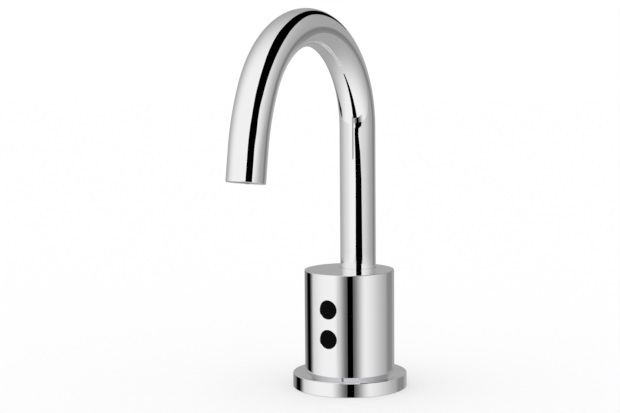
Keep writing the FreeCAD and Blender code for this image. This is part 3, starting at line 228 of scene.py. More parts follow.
# the mould's spark-eroded face is 0.02 mm rough and is drawn at 0.25 mm
grain = add(tree, "ShaderNodeTexNoise", {"Vector": place, "Scale": 1000 / 0.25, "Detail": 1.0})
relief = add(tree, "ShaderNodeBump", {"Height": grain.outputs["Fac"], "Strength": 0.15, "Distance": 0.00001})
plastic = add(
    tree,
    "ShaderNodeBsdfPrincipled",
    {
        "Base Color": tint.outputs[2],
        "Roughness": 0.38,
        "IOR": 1.48,
        "Subsurface Weight": 0.15,
        "Subsurface Scale": 0.001,
        "Normal": relief.outputs["Normal"],
    },
)
add(tree, "ShaderNodeOutputMaterial", {"Surface": plastic.outputs["BSDF"]})
dress(acetal, "check_valve_cage", "check_valve_poppet")
dress(rubber, "check_valve_seal")


def blank_shape(name, **sizes):
    """An empty geometry tree with a named input for each size, and those inputs by name."""
    shape = bpy.data.node_groups.new(name, "GeometryNodeTree")
    shape.interface.new_socket("Geometry", in_out="OUTPUT", socket_type="NodeSocketGeometry")
    for label, kind in sizes.items():
        shape.interface.new_socket(label, in_out="INPUT", socket_type="NodeSocket" + kind)
    return shape, add(shape, "NodeGroupInput").outputs


def grow(name, shape, **sizes):
    """The plain mesh piece that a geometry tree makes with these sizes."""
    piece = bpy.data.objects.new(name, bpy.data.meshes.new(name))
    bpy.context.scene.collection.objects.link(piece)
    modifier = piece.modifiers.new("shape", "NODES")
    modifier.node_group = shape
    for item in shape.interface.items_tree:
        if item.in_out == "INPUT":
            modifier[item.identifier] = sizes[item.name]
    depsgraph = bpy.context.evaluated_depsgraph_get()
    mesh = bpy.data.meshes.new_from_object(piece.evaluated_get(depsgraph), depsgraph=depsgraph)
    piece.modifiers.clear()
    piece.data = mesh
    return piece


# A compression spring: one wire along a spiral whose rise eases off at both ends, where the last turns close
# up and lie flat on their seats.
spring_shape, size = blank_shape(
    "wound_spring",
    Turns="Float",
    Radius="Float",
    Wire="Float",
    Height="Float",
    Foot="Vector",
    Finish="Material",
)
winding = add(
    spring_shape,
    "GeometryNodeCurveSpiral",
    {
        "Resolution": 40,
        "Rotations": size["Turns"],
        "Start Radius": size["Radius"],
        "End Radius": size["Radius"],
        "Height": 1.0,
    },
)
spot = add(spring_shape, "GeometryNodeInputPosition")
axes = add(spring_shape, "ShaderNodeSeparateXYZ", {"Vector": spot.outputs["Position"]})
rise = add(
    spring_shape,
    "ShaderNodeMapRange",
    {"Value": axes.outputs["Z"], "To Min": 0.0, "To Max": size["Height"]},
    interpolation_type="SMOOTHSTEP",
)
lifted = add(
    spring_shape,
    "ShaderNodeCombineXYZ",
    {"X": axes.outputs["X"], "Y": axes.outputs["Y"], "Z": rise.outputs["Result"]},
)
standing = add(spring_shape, "ShaderNodeVectorMath", {0: lifted.outputs["Vector"], 1: size["Foot"]})
line = add(
    spring_shape,
    "GeometryNodeSetPosition",
    {"Geometry": winding.outputs["Curve"], "Position": standing.outputs["Vector"]},
)
section = add(
    spring_shape, "GeometryNodeCurvePrimitiveCircle", {"Resolution": 12, "Radius": size["Wire"]}
)
wire = add(
    spring_shape,
    "GeometryNodeCurveToMesh",
    {"Curve": line.outputs["Geometry"], "Profile Curve": section.outputs["Curve"], "Fill Caps": True},
)
loose = add(spring_shape, "GeometryNodeRealizeInstances", {"Geometry": wire.outputs["Mesh"]})
coated = add(
    spring_shape,
    "GeometryNodeSetMaterial",
    {"Geometry": loose.outputs["Geometry"], "Material": size["Finish"]},
)
add(spring_shape, "NodeGroupOutput", {"Geometry": coated.outputs["Geometry"]})


SPRING_WIRE = 0.0004


def wind_spring(node_name, turns):
    """A wound spring in place of a plain ring of the frame, as tall as the ring and fixed to the tap's body.
    """
    low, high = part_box(node_name)
    middle = (low + high) / 2
    height = high.z - low.z
    spring = grow(
        node_name + "_wound",
        spring_shape,
        Turns=turns,
        Radius=(high.x - low.x) / 2 - SPRING_WIRE / 2,
        Wire=SPRING_WIRE / 2,
        Height=height - SPRING_WIRE,
        Foot=(middle.x, middle.y, low.z + SPRING_WIRE / 2),
        Finish=steel,
    )
    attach(spring, "tap_body")
    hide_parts(node_name)
    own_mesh(spring)


wind_spring("check_valve_spring", turns=3.0)


# ---- Servo piston ----------------------------------------------------------------------------------------
# The main valve: a moulded acetal piston with a rubber cup round its edge and a rubber washer under it, which
# closes on the nozzle of the casting.
dress(acetal, "servo_piston")
dress(rubber, "piston_cup_seal", "piston_seat_washer")


# ---- Bonnet and armature ---------------------------------------------------------------------------------
# The steel bonnet closes the valve chamber on its O-ring and holds the sleeve, in which the magnetic steel
# armature slides against its spring up to the fixed core.
dress(steel, "valve_bonnet", "armature", "armature_sleeve", "fixed_core")
dress(rubber, "bonnet_o_ring", "armature_seal")
wind_spring("armature_spring", turns=7.0)


# ---- Solenoid coil ---------------------------------------------------------------------------------------
# Copper wire on a moulded bobbin in a steel can, held down by a thin nut, with the magnet on top that keeps
# the valve open without current.

# Zinc plate on pressed steel: a bluish grey with the soft spangle of the plating bath, 2.5 mm across.
zinc, tree, place = blank_finish("zinc_plated_steel")
spangle = add(tree, "ShaderNodeTexVoronoi", {"Vector": place, "Scale": 1000 / 2.5})
tint = add(
    tree,
    "ShaderNodeMix",
    {"Factor": spangle.outputs["Distance"], 6: linear("a9adb0"), 7: linear("c6cacc")},
    data_type="RGBA",
)
metal = add(
    tree,
    "ShaderNodeBsdfPrincipled",
    {"Base Color": tint.outputs[2], "Metallic": 1.0, "Roughness": 0.36},
)
add(tree, "ShaderNodeOutputMaterial", {"Surface": metal.outputs["BSDF"]})
dress(zinc, "coil_can", "coil_top_plate", "coil_nut")
dress(acetal, "coil_bobbin")

# Sintered ferrite: a dark grey ceramic, dull, with fine sparkling grains.
ferrite, tree, place = blank_finish("sintered_ferrite")
# the grains are a few micrometres and are drawn at 0.3 mm
grain = add(tree, "ShaderNodeTexNoise", {"Vector": place, "Scale": 1000 / 0.3, "Detail": 3.0})
tint = add(
    tree,
    "ShaderNodeMix",
    {"Factor": grain.outputs["Fac"], 6: linear("2a2a2d"), 7: linear("48484c")},
    data_type="RGBA",
)
ceramic = add(tree, "ShaderNodeBsdfPrincipled", {"Base Color": tint.outputs[2], "Roughness": 0.55})
add(tree, "ShaderNodeOutputMaterial", {"Surface": ceramic.outputs["BSDF"]})
dress(ferrite, "latching_magnet")

# Enamelled copper wire: bright orange copper under a thin clear varnish, which gives it a second, sharper
# gloss.
enamel, tree, place = blank_finish("enamelled_copper_wire")
heat = add(tree, "ShaderNodeTexNoise", {"Vector": place, "Scale": 1000 / 2.0, "Detail": 2.0})
tint = add(
    tree,
    "ShaderNodeMix",
    {"Factor": heat.outputs["Fac"], 6: linear("b4582a"), 7: linear("d98a4c")},
    data_type="RGBA",
)
metal = add(
    tree,
    "ShaderNodeBsdfPrincipled",
    {
        "Base Color": tint.outputs[2],
        "Metallic": 1.0,
        "Roughness": 0.3,
        "Coat Weight": 0.8,
        "Coat Roughness": 0.08,
        "Coat IOR": 1.5,
    },
)
add(tree, "ShaderNodeOutputMaterial", {"Surface": metal.outputs["BSDF"]})

# The winding has hundreds of turns of 0.2 mm wire. Its outer layer is drawn as 30 turns of 0.5 mm wire round
# a plain core, so that the turns show.
coil_shape, size = blank_shape(
    "wound_coil",
    Turns="Float",
    Reach="Float",
    Hub="Float",
    Wire="Float",
    Height="Float",
    Foot="Vector",
    Finish="Material",
)
winding = add(
    coil_shape,
    "GeometryNodeCurveSpiral",
    {
        "Resolution": 48,
        "Rotations": size["Turns"],
        "Start Radius": size["Reach"],
        "End Radius": size["Reach"],
        "Height": size["Height"],
    },
)
section = add(coil_shape, "GeometryNodeCurvePrimitiveCircle", {"Resolution": 8, "Radius": size["Wire"]})
wire = add(
    coil_shape,
    "GeometryNodeCurveToMesh",
    {"Curve": winding.outputs["Curve"], "Profile Curve": section.outputs["Curve"], "Fill Caps": True},
)
outside = add(coil_shape, "GeometryNodeCurvePrimitiveCircle", {"Resolution": 64, "Radius": size["Reach"]})
inside = add(coil_shape, "GeometryNodeCurvePrimitiveCircle", {"Resolution": 64, "Radius": size["Hub"]})
pair = add(coil_shape, "GeometryNodeJoinGeometry", {"Geometry": outside.outputs["Curve"]})
coil_shape.links.new(inside.outputs["Curve"], pair.inputs["Geometry"])
flat = add(coil_shape, "GeometryNodeFillCurve", {"Curve": pair.outputs["Geometry"]}, mode="NGONS")
column = add(
    coil_shape,
    "GeometryNodeExtrudeMesh",
    {
        "Mesh": flat.outputs["Mesh"],
        "Offset": (0.0, 0.0, 1.0),
        "Offset Scale": size["Height"],
        "Individual": False,
    },
)
turned = add(coil_shape, "GeometryNodeFlipFaces", {"Mesh": flat.outputs["Mesh"]})
both = add(coil_shape, "GeometryNodeJoinGeometry", {"Geometry": wire.outputs["Mesh"]})
coil_shape.links.new(column.outputs["Mesh"], both.inputs["Geometry"])
coil_shape.links.new(turned.outputs["Mesh"], both.inputs["Geometry"])
# half a micrometre apart is the same corner
joined = add(
    coil_shape, "GeometryNodeMergeByDistance", {"Geometry": both.outputs["Geometry"], "Distance": 0.0000005}
)
standing = add(
    coil_shape, "GeometryNodeTransform", {"Geometry": joined.outputs["Geometry"], "Translation": size["Foot"]}
)
loose = add(coil_shape, "GeometryNodeRealizeInstances", {"Geometry": standing.outputs["Geometry"]})
coated = add(
    coil_shape, "GeometryNodeSetMaterial", {"Geometry": loose.outputs["Geometry"], "Material": size["Finish"]}
)
add(coil_shape, "NodeGroupOutput", {"Geometry": coated.outputs["Geometry"]})

DRAWN_WIRE = 0.0005
DRAWN_TURNS = 30.0
BOBBIN_HUB = 0.0053
low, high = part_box("coil_winding")
middle = (low + high) / 2
copper = grow(
    "coil_winding_wound",
    coil_shape,
    Turns=DRAWN_TURNS,
    Reach=(high.x - low.x) / 2 - DRAWN_WIRE / 2,
    Hub=BOBBIN_HUB,
    Wire=DRAWN_WIRE / 2,
    Height=high.z - low.z - DRAWN_WIRE,
    Foot=(middle.x, middle.y, low.z + DRAWN_WIRE / 2),
    Finish=enamel,
)
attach(copper, "tap_body")
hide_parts("coil_winding")

# Extruded PVC sheath of the lead: a soft dark grey with a slight sheen.
sheath, tree, place = blank_finish("extruded_pvc_sheath")
drag = add(tree, "ShaderNodeTexNoise", {"Vector": place, "Scale": 1000 / 1.5, "Detail": 2.0})
gloss = add(
    tree,
    "ShaderNodeMapRange",
    {"Value": drag.outputs["Fac"], "From Min": 0.3, "From Max": 0.7, "To Min": 0.38, "To Max": 0.52},
)
plastic = add(
    tree,
    "ShaderNodeBsdfPrincipled",
    {"Base Color": linear("2b2b2d"), "Roughness": gloss.outputs["Result"], "IOR": 1.53},
)
add(tree, "ShaderNodeOutputMaterial", {"Surface": plastic.outputs["BSDF"]})
dress(sheath, "solenoid_lead")


# ---- Sensor ----------------------------------------------------------------------------------------------
# A black moulded case behind the two windows, with the board, an infrared emitter above and a receiver below,
# on a bent steel bracket that is screwed to the spout's socket.

# Moulded black PBT: a matt plastic with the even, fine grain of a spark-eroded mould.
pbt, tree, place = blank_finish("moulded_black_pbt")
# the grain is 0.03 mm and is drawn at 0.35 mm
grain = add(tree, "ShaderNodeTexNoise", {"Vector": place, "Scale": 1000 / 0.35, "Detail": 3.0})
relief = add(tree, "ShaderNodeBump", {"Height": grain.outputs["Fac"], "Strength": 0.3, "Distance": 0.00002})
gloss = add(
    tree,
    "ShaderNodeMapRange",
    {"Value": grain.outputs["Fac"], "From Min": 0.3, "From Max": 0.7, "To Min": 0.42, "To Max": 0.58},
)
plastic = add(
    tree,
    "ShaderNodeBsdfPrincipled",
    {
        "Base Color": linear("1a1a1b"),
        "Roughness": gloss.outputs["Result"],
        "Normal": relief.outputs["Normal"],
    },
)
add(tree, "ShaderNodeOutputMaterial", {"Surface": plastic.outputs["BSDF"]})
dress(pbt, "sensor_housing", "sensor_back_cover", "control_chip")

# Glass-fibre laminate under green solder resist: the weave shows faintly through the varnish.
laminate, tree, place = blank_finish("green_glass_laminate")
# the glass cloth has a thread every 0.5 mm and is drawn with one every 3.1 mm
warp = add(tree, "ShaderNodeTexWave", {"Vector": place, "Scale": 1000 / 10.0}, bands_direction="X")
weft = add(tree, "ShaderNodeTexWave", {"Vector": place, "Scale": 1000 / 10.0}, bands_direction="Z")
weave = add(
    tree, "ShaderNodeMath", {0: warp.outputs["Fac"], 1: weft.outputs["Fac"]}, operation="MULTIPLY"
)
tint = add(
    tree,
    "ShaderNodeMix",
    {"Factor": weave.outputs["Value"], 6: linear("124a2b"), 7: linear("1d6a3e")},
    data_type="RGBA",
)
board = add(tree, "ShaderNodeBsdfPrincipled", {"Base Color": tint.outputs[2], "Roughness": 0.28})
add(tree, "ShaderNodeOutputMaterial", {"Surface": board.outputs["BSDF"]})
dress(laminate, "sensor_board")

# Cast epoxy of the infrared diodes: a very dark violet resin, glossy, that lets only infrared light through.
resin, tree, place = blank_finish("cast_diode_resin")
swirl = add(tree, "ShaderNodeTexNoise", {"Vector": place, "Scale": 1000 / 1.2, "Detail": 1.0})
tint = add(
    tree,
    "ShaderNodeMix",
    {"Factor": swirl.outputs["Fac"], 6: linear("15101c"), 7: linear("2a2036")},
    data_type="RGBA",
)
epoxy = add(
    tree,
    "ShaderNodeBsdfPrincipled",
    {"Base Color": tint.outputs[2], "Roughness": 0.08, "IOR": 1.55, "Coat Weight": 0.3},
)
add(tree, "ShaderNodeOutputMaterial", {"Surface": epoxy.outputs["BSDF"]})
dress(resin, "ir_emitter", "ir_receiver")
dress(acetal, "board_connector")
dress(steel, "sensor_bracket", "bracket_screw", "sensor_screws")
dress(rubber, "lens_seal_upper", "lens_seal_lower")


# ---- Collar and shell ------------------------------------------------------------------------------------
# A deep brass cup with a flat top goes down over the works. It rests on the collar, a cone that narrows
# towards the flange. Both are turned, polished and plated like the flange.
dress(chrome, "body_collar", "body_shell")


# ---- Windows ---------------------------------------------------------------------------------------------
# Two discs of infrared-pass acrylic, pushed into the shell from outside against rubber rings. Their faces are
# nearly flush with the chrome.

# Dark infrared-pass acrylic: to the eye a glossy, nearly black glass, with a coating that keeps reflections
# low.
acrylic, tree, place = blank_finish("dark_infrared_acrylic")
depth = add(tree, "ShaderNodeTexNoise", {"Vector": place, "Scale": 1000 / 5.0, "Detail": 1.0})
tint = add(
    tree,
    "ShaderNodeMix",
    {"Factor": depth.outputs["Fac"], 6: linear("040404"), 7: linear("080708")},
    data_type="RGBA",
)
glass = add(
    tree,
    "ShaderNodeBsdfPrincipled",
    {"Base Color": tint.outputs[2], "Roughness": 0.06, "IOR": 1.49, "Specular IOR Level": 0.03},
)
add(tree, "ShaderNodeOutputMaterial", {"Surface": glass.outputs["BSDF"]})
dress(acrylic, "sensor_lens_upper", "sensor_lens_lower")


# ---- Bearing ring and spigot -----------------------------------------------------------------------------
# The spout turns on a thin acetal ring in the recess of the shell's top. Its brass spigot, sealed by two
# O-rings, goes down into the socket of the casting.
dress(acetal, "spout_bearing_ring")
dress(rubber, "spigot_o_ring_lower", "spigot_o_ring_upper")


# ---- Spout -----------------------------------------------------------------------------------------------
# One length of brass tube: a straight leg, the arch, a gentler bend after it and a short straight end. It is
# bent over a mandrel, cut square, its rims broken with a file, then polished and plated like the body.
# The leg stands behind the body's axis, and the two bends turn the tube to 9 degrees short of straight down.
TUBE_RADIUS = 0.011
TUBE_WALL = 0.0012
RIM_BREAK = 0.00025
LEG_BACK = 0.0115
LEG_TOP = 0.1588
ARCH_RADIUS = 0.060
ARCH_TURN = math.radians(153.0)
EASE_RADIUS = 0.116
EASE_TURN = math.radians(18.0)
OUTLET_LENGTH = 0.0175

tube_shape, size = blank_shape(
    "bent_tube",
    Radius="Float",
    Foot="Vector",
    Top="Vector",
    ArchCentre="Vector",
    ArchRadius="Float",
    ArchTurn="Float",
    EaseCentre="Vector",
    EaseRadius="Float",
    EaseTurn="Float",
    Lip="Vector",
    Tip="Vector",
    Finish="Material",
)
runs = add(tube_shape, "GeometryNodeJoinGeometry")
for start, end, count in (("Foot", "Top", 24), ("Lip", "Tip", 8)):
    straight = add(tube_shape, "GeometryNodeCurvePrimitiveLine", {"Start": size[start], "End": size[end]})
    marked = add(
        tube_shape, "GeometryNodeResampleCurve", {"Curve": straight.outputs["Curve"], "Count": count}
    )
    tube_shape.links.new(marked.outputs["Curve"], runs.inputs["Geometry"])
# each bend is drawn lying down and then stood up in the plane of the spout
upright = (math.radians(90), 0.0, math.radians(90))
for radius, before, sweep, middle, count in (
    (size["ArchRadius"], 0.0, size["ArchTurn"], size["ArchCentre"], 154),
    (size["EaseRadius"], size["ArchTurn"], size["EaseTurn"], size["EaseCentre"], 32),
):
    bow = add(
        tube_shape,
        "GeometryNodeCurveArc",
        {"Resolution": count, "Radius": radius, "Start Angle": before, "Sweep Angle": sweep},
    )
    hung = add(
        tube_shape,
        "GeometryNodeTransform",
        {"Geometry": bow.outputs["Curve"], "Rotation": upright, "Translation": middle},
    )
    tube_shape.links.new(hung.outputs["Geometry"], runs.inputs["Geometry"])
# the four runs meet end to end and are joined into one line
threads = add(tube_shape, "GeometryNodeCurveToMesh", {"Curve": runs.outputs["Geometry"]})
sewn = add(
    tube_shape, "GeometryNodeMergeByDistance", {"Geometry": threads.outputs["Mesh"], "Distance": 0.00005}
)
centreline = add(tube_shape, "GeometryNodeMeshToCurve", {"Mesh": sewn.outputs["Geometry"]})
section = add(
    tube_shape, "GeometryNodeCurvePrimitiveCircle", {"Resolution": 128, "Radius": size["Radius"]}
)
skin = add(
    tube_shape,
    "GeometryNodeCurveToMesh",
    {"Curve": centreline.outputs["Curve"], "Profile Curve": section.outputs["Curve"]},
)
smooth = add(tube_shape, "GeometryNodeSetShadeSmooth", {"Geometry": skin.outputs["Mesh"]})
loose = add(tube_shape, "GeometryNodeRealizeInstances", {"Geometry": smooth.outputs["Geometry"]})
coated = add(
    tube_shape,
    "GeometryNodeSetMaterial",
    {"Geometry": loose.outputs["Geometry"], "Material": size["Finish"]},
)
add(tube_shape, "NodeGroupOutput", {"Geometry": coated.outputs["Geometry"]})


def on_bend(middle, radius, turn):
    """The point of a bend in the plane of the spout where the tube has turned so far from straight up."""
    return middle + Vector((0.0, math.cos(turn), math.sin(turn))) * radius


top = Vector((0.0, LEG_BACK, LEG_TOP))
arch_centre = on_bend(top, -ARCH_RADIUS, 0.0)
ease_centre = on_bend(arch_centre, ARCH_RADIUS - EASE_RADIUS, ARCH_TURN)
end_turn = ARCH_TURN + EASE_TURN
lip = on_bend(ease_centre, EASE_RADIUS, end_turn)
tube = grow(
    "bent_spout_tube",
    tube_shape,
    Radius=TUBE_RADIUS,
    Foot=(0.0, LEG_BACK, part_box("spout_tube")[0].z),
    Top=top,
    ArchCentre=arch_centre,
    ArchRadius=ARCH_RADIUS,
    ArchTurn=ARCH_TURN,
    EaseCentre=ease_centre,
    EaseRadius=EASE_RADIUS,
    EaseTurn=EASE_TURN,
    Lip=lip,
    # the end runs straight on, square to the last radius of its bend
    Tip=on_bend(lip, OUTLET_LENGTH, end_turn + math.radians(90)),
    Finish=chrome,
)
# the line's tube is the outer face, and the wall grows inwards from it
wall = tube.modifiers.new("wall", "SOLIDIFY")
wall.thickness = TUBE_WALL
wall.offset = -1.0
wall.use_even_offset = True
# only the rims of the two square cuts are sharper than 60 degrees
rims = tube.modifiers.new("rims", "BEVEL")
rims.width = RIM_BREAK
rims.segments = 3
rims.limit_method = "ANGLE"
rims.angle_limit = math.radians(60)
rims.harden_normals = True
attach(tube, "spout")
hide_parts("spout_tube")


# ---- Aerator ---------------------------------------------------------------------------------------------
# A moulded cartridge in the brass ring at the spout's end: a housing, a grid that breaks up the jet, and a
# rubber washer above it.

# Grey polypropylene, moulded: slightly translucent and satin.
grey_plastic, tree, place = blank_finish("moulded_grey_polypropylene")
flow = add(tree, "ShaderNodeTexNoise", {"Vector": place, "Scale": 1000 / 2.0, "Detail": 2.0})
tint = add(
    tree,
    "ShaderNodeMix",
    {"Factor": flow.outputs["Fac"], 6: linear("8e9092"), 7: linear("a0a2a4")},
    data_type="RGBA",
)
plastic = add(
    tree, "ShaderNodeBsdfPrincipled", {"Base Color": tint.outputs[2], "Roughness": 0.45, "IOR": 1.49}
)
add(tree, "ShaderNodeOutputMaterial", {"Surface": plastic.outputs["BSDF"]})
dress(grey_plastic, "aerator_housing", "aerator_grid")
dress(rubber, "aerator_washer")


# ---- Retaining screw and cable gland ---------------------------------------------------------------------
# The steel screw at the back holds the shell, and its end runs in the spigot's slot and stops the swing. The
# rubber gland under the foot lets the supply lead in.
dress(steel, "retaining_screw")
dress(rubber, "cable_gland")


# ---- Room ------------------------------------------------------------------------------------------------
# A plain white floor that runs out into white light on all sides, and round it a light tent with black felt
# strips, which are only there to be mirrored in the chrome, as a photographer of polished metal sets them up.

# Matt white paper: even and bright, with a cloudy sheet formation that is hardly there.
floor_finish, tree, place = blank_finish("matt_white_paper")
fibres = add(tree, "ShaderNodeTexNoise", {"Vector": place, "Scale": 1000 / 2.0, "Detail": 2.0})
tint = add(
    tree,
    "ShaderNodeMix",
    {"Factor": fibres.outputs["Fac"], 6: linear("fefefe"), 7: linear("ffffff")},
    data_type="RGBA",
)
paper = add(tree, "ShaderNodeBsdfDiffuse", {"Color": tint.outputs[2]})
add(tree, "ShaderNodeOutputMaterial", {"Surface": paper.outputs["BSDF"]})
REACH = 6.0
floor_mesh = bpy.data.meshes.new("floor")
floor_mesh.from_pydata(
    [(-REACH, -REACH, 0), (REACH, -REACH, 0), (REACH, REACH, 0), (-REACH, REACH, 0)], [], [(0, 1, 2, 3)]
)
floor_mesh.materials.append(floor_finish)
floor = bpy.data.objects.new("floor", floor_mesh)
bpy.context.scene.collection.objects.link(floor)
floor.visible_glossy = False

sky = bpy.data.worlds.new("white_room")
sky.use_nodes = True
sky.node_tree.nodes.clear()
glow = add(sky.node_tree, "ShaderNodeBackground", {"Color": linear("ffffff"), "Strength": 1.0})
add(sky.node_tree, "ShaderNodeOutputWorld", {"Surface": glow.outputs["Background"]})
# the chrome mirrors only the tent, so no light is sought in the sky behind it, which would speckle the felt
sky.cycles.sampling_method = "NONE"
bpy.context.scene.world = sky

# A round light tent of white cloth, bright at the front and greyer behind, which shows only in glossy faces.
# Soft grey patches low in it, where its sheets overlap, give the grey runs beside the dark stripes.
BRIGHT_SIDE = (0.17, -0.97, 0.15)
tent_finish, tree, place = blank_finish("white_tent_cloth")
bearing = add(tree, "ShaderNodeVectorMath", {0: place}, operation="NORMALIZE")
towards_front = add(
    tree, "ShaderNodeVectorMath", {0: bearing.outputs["Vector"], 1: BRIGHT_SIDE}, operation="DOT_PRODUCT"
)
cloth = add(
    tree,
    "ShaderNodeMapRange",
    {
        "Value": towards_front.outputs["Value"],
        "From Min": -0.8,
        "From Max": 0.7,
        "To Min": 0.42,
        "To Max": 1.0,
    },
    interpolation_type="SMOOTHSTEP",
)
axes = add(tree, "ShaderNodeSeparateXYZ", {"Vector": bearing.outputs["Vector"]})
forwards = add(tree, "ShaderNodeMath", {0: axes.outputs["Y"], 1: -1.0}, operation="MULTIPLY")
turn = add(
    tree, "ShaderNodeMath", {0: axes.outputs["X"], 1: forwards.outputs["Value"]}, operation="ARCTAN2"
)
# what the body and the leg mirror, as sines of the elevation: where each band starts, is full, is still full
# and ends
BODY_BAND = (-0.262, -0.245, -0.150, -0.138)
LEG_BAND = (-0.152, -0.136, 0.0, 0.1)
light = cloth.outputs["Result"]
# each patch: its band, its middle, core and outer reach in degrees from the front, and how much it darkens
for (low, full_low, full_high, high), middle, core, reach, dark in (
    (BODY_BAND, 30.0, 6.0, 42.0, 0.88),
    (BODY_BAND, -99.0, 7.0, 24.0, 0.90),
    (BODY_BAND, -125.0, 6.0, 30.0, 0.35),
    (BODY_BAND, 155.0, 8.0, 24.0, 0.35),
    (LEG_BAND, 88.0, 25.0, 75.0, 0.22),
    (LEG_BAND, -65.0, 15.0, 55.0, 0.18),
    (LEG_BAND, 152.0, 4.0, 18.0, 0.42),
):
    shares = []
    for outside, inside in ((low, full_low), (high, full_high)):
        share = add(
            tree,
            "ShaderNodeMapRange",
            {"Value": axes.outputs["Z"], "From Min": outside, "From Max": inside},
        )
        shares.append(share.outputs["Result"])
    aside = add(
        tree, "ShaderNodeMath", {0: turn.outputs["Value"], 1: math.radians(middle)}, operation="SUBTRACT"
    )
    away = add(tree, "ShaderNodeMath", {0: aside.outputs["Value"]}, operation="ABSOLUTE")
    patch = add(
        tree,
        "ShaderNodeMapRange",
        {
            "Value": away.outputs["Value"],
            "From Min": math.radians(core),
            "From Max": math.radians(reach),
            "To Min": dark,
            "To Max": 0.0,
        },
        interpolation_type="SMOOTHSTEP",
    )
    band = add(tree, "ShaderNodeMath", {0: shares[0], 1: shares[1]}, operation="MULTIPLY")
    taken = add(
        tree, "ShaderNodeMath", {0: patch.outputs["Result"], 1: band.outputs["Value"]}, operation="MULTIPLY"
    )
    rest = add(tree, "ShaderNodeMath", {0: 1.0, 1: taken.outputs["Value"]}, operation="SUBTRACT")
    light = add(
        tree, "ShaderNodeMath", {0: light, 1: rest.outputs["Value"]}, operation="MULTIPLY"
    ).outputs["Value"]
face = add(tree, "ShaderNodeEmission", {"Color": linear("ffffff"), "Strength": light})
add(tree, "ShaderNodeOutputMaterial", {"Surface": face.outputs["Emission"]})


# the tent and its strips stand round the middle of the tap, the strips just inside the cloth
TENT_MIDDLE = Vector((0.0, -0.03, 0.1))
TENT_RADIUS = 8.2
FELT_RADIUS = 8.0


def mirrored_only(obj):
    """Hides a stage piece from everything but reflections, so that it neither shows nor shades the floor."""
    obj.visible_camera = False
    obj.visible_diffuse = False
    obj.visible_shadow = False
    obj.visible_transmission = False


tent_mesh = bpy.data.meshes.new("light_tent")
sewing = bmesh.new()
bmesh.ops.create_uvsphere(sewing, u_segments=48, v_segments=24, radius=TENT_RADIUS)
bmesh.ops.reverse_faces(sewing, faces=sewing.faces)
sewing.to_mesh(tent_mesh)
sewing.free()
tent_finish.cycles.emission_sampling = "NONE"
tent_mesh.materials.append(tent_finish)
tent = bpy.data.objects.new("light_tent", tent_mesh)
bpy.context.scene.collection.objects.link(tent)
tent.location = TENT_MIDDLE
mirrored_only(tent)

# Black felt, sewn into the tent in strips. It sends back no light at all, and makes the crisp dark stripes
# down the leg, the body and the arch.
felt, tree, _ = blank_finish("black_felt")
face = add(tree, "ShaderNodeEmission", {"Color": linear("000000"), "Strength": 1.0})
add(tree, "ShaderNodeOutputMaterial", {"Surface": face.outputs["Emission"]})

# The same felt for the strip over the arch, which is mirrored once only, so that it leaves no scraps where
# the gap under the body mirrors itself.
felt_once, tree, _ = blank_finish("black_felt_mirrored_once")
face = add(tree, "ShaderNodeEmission", {"Color": linear("000000"), "Strength": 1.0})
past = add(tree, "ShaderNodeLightPath")
# the first mirror image is at depth 1 and the next at 2
again = add(tree, "ShaderNodeMath", {0: past.outputs["Ray Depth"], 1: 1.5}, operation="GREATER_THAN")
gone = add(tree, "ShaderNodeBsdfTransparent")
either = add(
    tree,
    "ShaderNodeMixShader",
    {"Fac": again.outputs["Value"], 1: face.outputs["Emission"], 2: gone.outputs["BSDF"]},
)
add(tree, "ShaderNodeOutputMaterial", {"Surface": either.outputs["Shader"]})


def sew_strip(name, cloth, edges):
    """A strip between pairs of bearings: azimuth from the front, turning right, and elevation, in degrees."""
    corners = []
    for pair in edges:
        for azimuth, elevation in pair:
            turn = math.radians(azimuth)
            lift = math.radians(elevation)
            away = Vector((math.sin(turn) * math.cos(lift), -math.cos(turn) * math.cos(lift), math.sin(lift)))
            corners.append(TENT_MIDDLE + away * FELT_RADIUS)
    faces = [(at, at + 1, at + 3, at + 2) for at in range(0, len(corners) - 2, 2)]
    mesh = bpy.data.meshes.new(name)
    mesh.from_pydata(corners, [], faces)
    mesh.materials.append(cloth)
    strip = bpy.data.objects.new(name, mesh)
    bpy.context.scene.collection.objects.link(strip)
    mirrored_only(strip)


# from the front right up over the arch and down behind it
sew_strip(
    "felt_over",
    felt_once,
    [
        ((29, 5), (67, 5)),
        ((30, 11), (69, 9)),
        ((31, 16), (74, 13)),
        ((32, 21), (73, 17.5)),
        ((34.5, 26), (75, 21.5)),
        ((36, 31), (81, 24)),
        ((37, 37), (87, 27)),
        ((42, 44), (97, 31.5)),
        ((48, 52), (108, 36.5)),
        ((54, 61), (119, 41)),
        ((65, 69.5), (130, 44.5)),
        ((93, 76.5), (141, 45)),
        ((133, 77), (151, 44.5)),
        ((156, 72), (160, 42.5)),
        ((172, 64), (168, 39)),
        ((181, 56), (174, 33)),
        ((188, 46), (180, 24)),
        ((194, 33), (187, 13)),
        ((198, 22), (195, 11)),
        ((200, 18), (199, 12)),
    ],
)
# for the leg's image in the body's top
sew_strip("felt_leg_image", felt, [((15, 4.5), (49, 4.5)), ((15, 9.5), (51, 9.5))])
# opposite the leg, wider further down
sew_strip(
    "felt_leg",
    felt,
    [
        ((9, 0), (30, 0)),
        ((9.5, -2.4), (34, -2.4)),
        ((13, -3.3), (46, -3.3)),
        ((15, -4.5), (53, -4.5)),
        ((13, -8.1), (57, -8.1)),
    ],
)
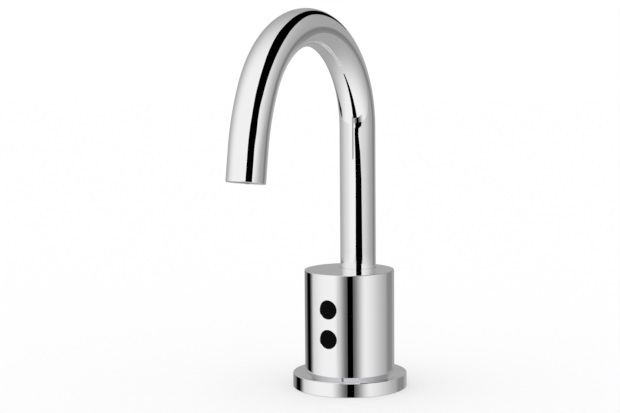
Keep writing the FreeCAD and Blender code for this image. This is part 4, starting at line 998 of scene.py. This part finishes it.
# opposite the body, in front and at its left edge
sew_strip("felt_body", felt, [((23.5, -8.1), (37.5, -8.1)), ((23.5, -14.5), (37.5, -14.5))])
sew_strip("felt_side", felt, [((-107, -8.2), (-92, -8.2)), ((-107, -14.5), (-92, -14.5))])
# below the arch's inner side
sew_strip(
    "felt_low",
    felt,
    [
        ((3, -14.5), (29, -14.5)),
        ((1, -22), (26, -22)),
        ((-1, -33), (22, -33)),
        ((-4, -50), (18, -50)),
        ((-6, -66), (14, -66)),
        ((-14, -78), (8, -78)),
    ],
)


# ---- Camera ----------------------------------------------------------------------------------------------
# A long lens to the right of the front, at about the height of the arch. It looks slightly down, and a little
# past the tap to the left, so that the body stands right of the middle.
AZIMUTH = math.radians(28.61)
PITCH = math.radians(5.78)
YAW = math.radians(-1.59)
ROLL = math.radians(-0.49)
DISTANCE = 0.85683
EYE_HEIGHT = 0.19788
SENSOR_WIDTH = 36.0
# the focal length as a share of the sensor's width
LONG_LENS = 1408.5 / 620

camera_data = bpy.data.cameras.new("camera")
camera_data.sensor_width = SENSOR_WIDTH
camera_data.lens = LONG_LENS * SENSOR_WIDTH
camera = bpy.data.objects.new("camera", camera_data)
bpy.context.scene.collection.objects.link(camera)
towards = Vector((-math.sin(AZIMUTH), math.cos(AZIMUTH), 0.0))
sideways = Vector((math.cos(AZIMUTH), math.sin(AZIMUTH), 0.0))
level = towards * math.cos(YAW) + sideways * math.sin(YAW)
right = Vector((level.y, -level.x, 0.0))
forward = level * math.cos(PITCH) - Vector((0.0, 0.0, 1.0)) * math.sin(PITCH)
upward = right.cross(forward)
right_rolled = right * math.cos(ROLL) + upward * math.sin(ROLL)
up_rolled = upward * math.cos(ROLL) - right * math.sin(ROLL)
axes = Matrix((right_rolled, up_rolled, -forward)).transposed()
eye = -towards * DISTANCE + Vector((0.0, 0.0, EYE_HEIGHT))
camera.matrix_world = Matrix.Translation(eye) @ axes.to_4x4()
bpy.context.scene.camera = camera
bpy.context.scene.view_settings.view_transform = "Standard"
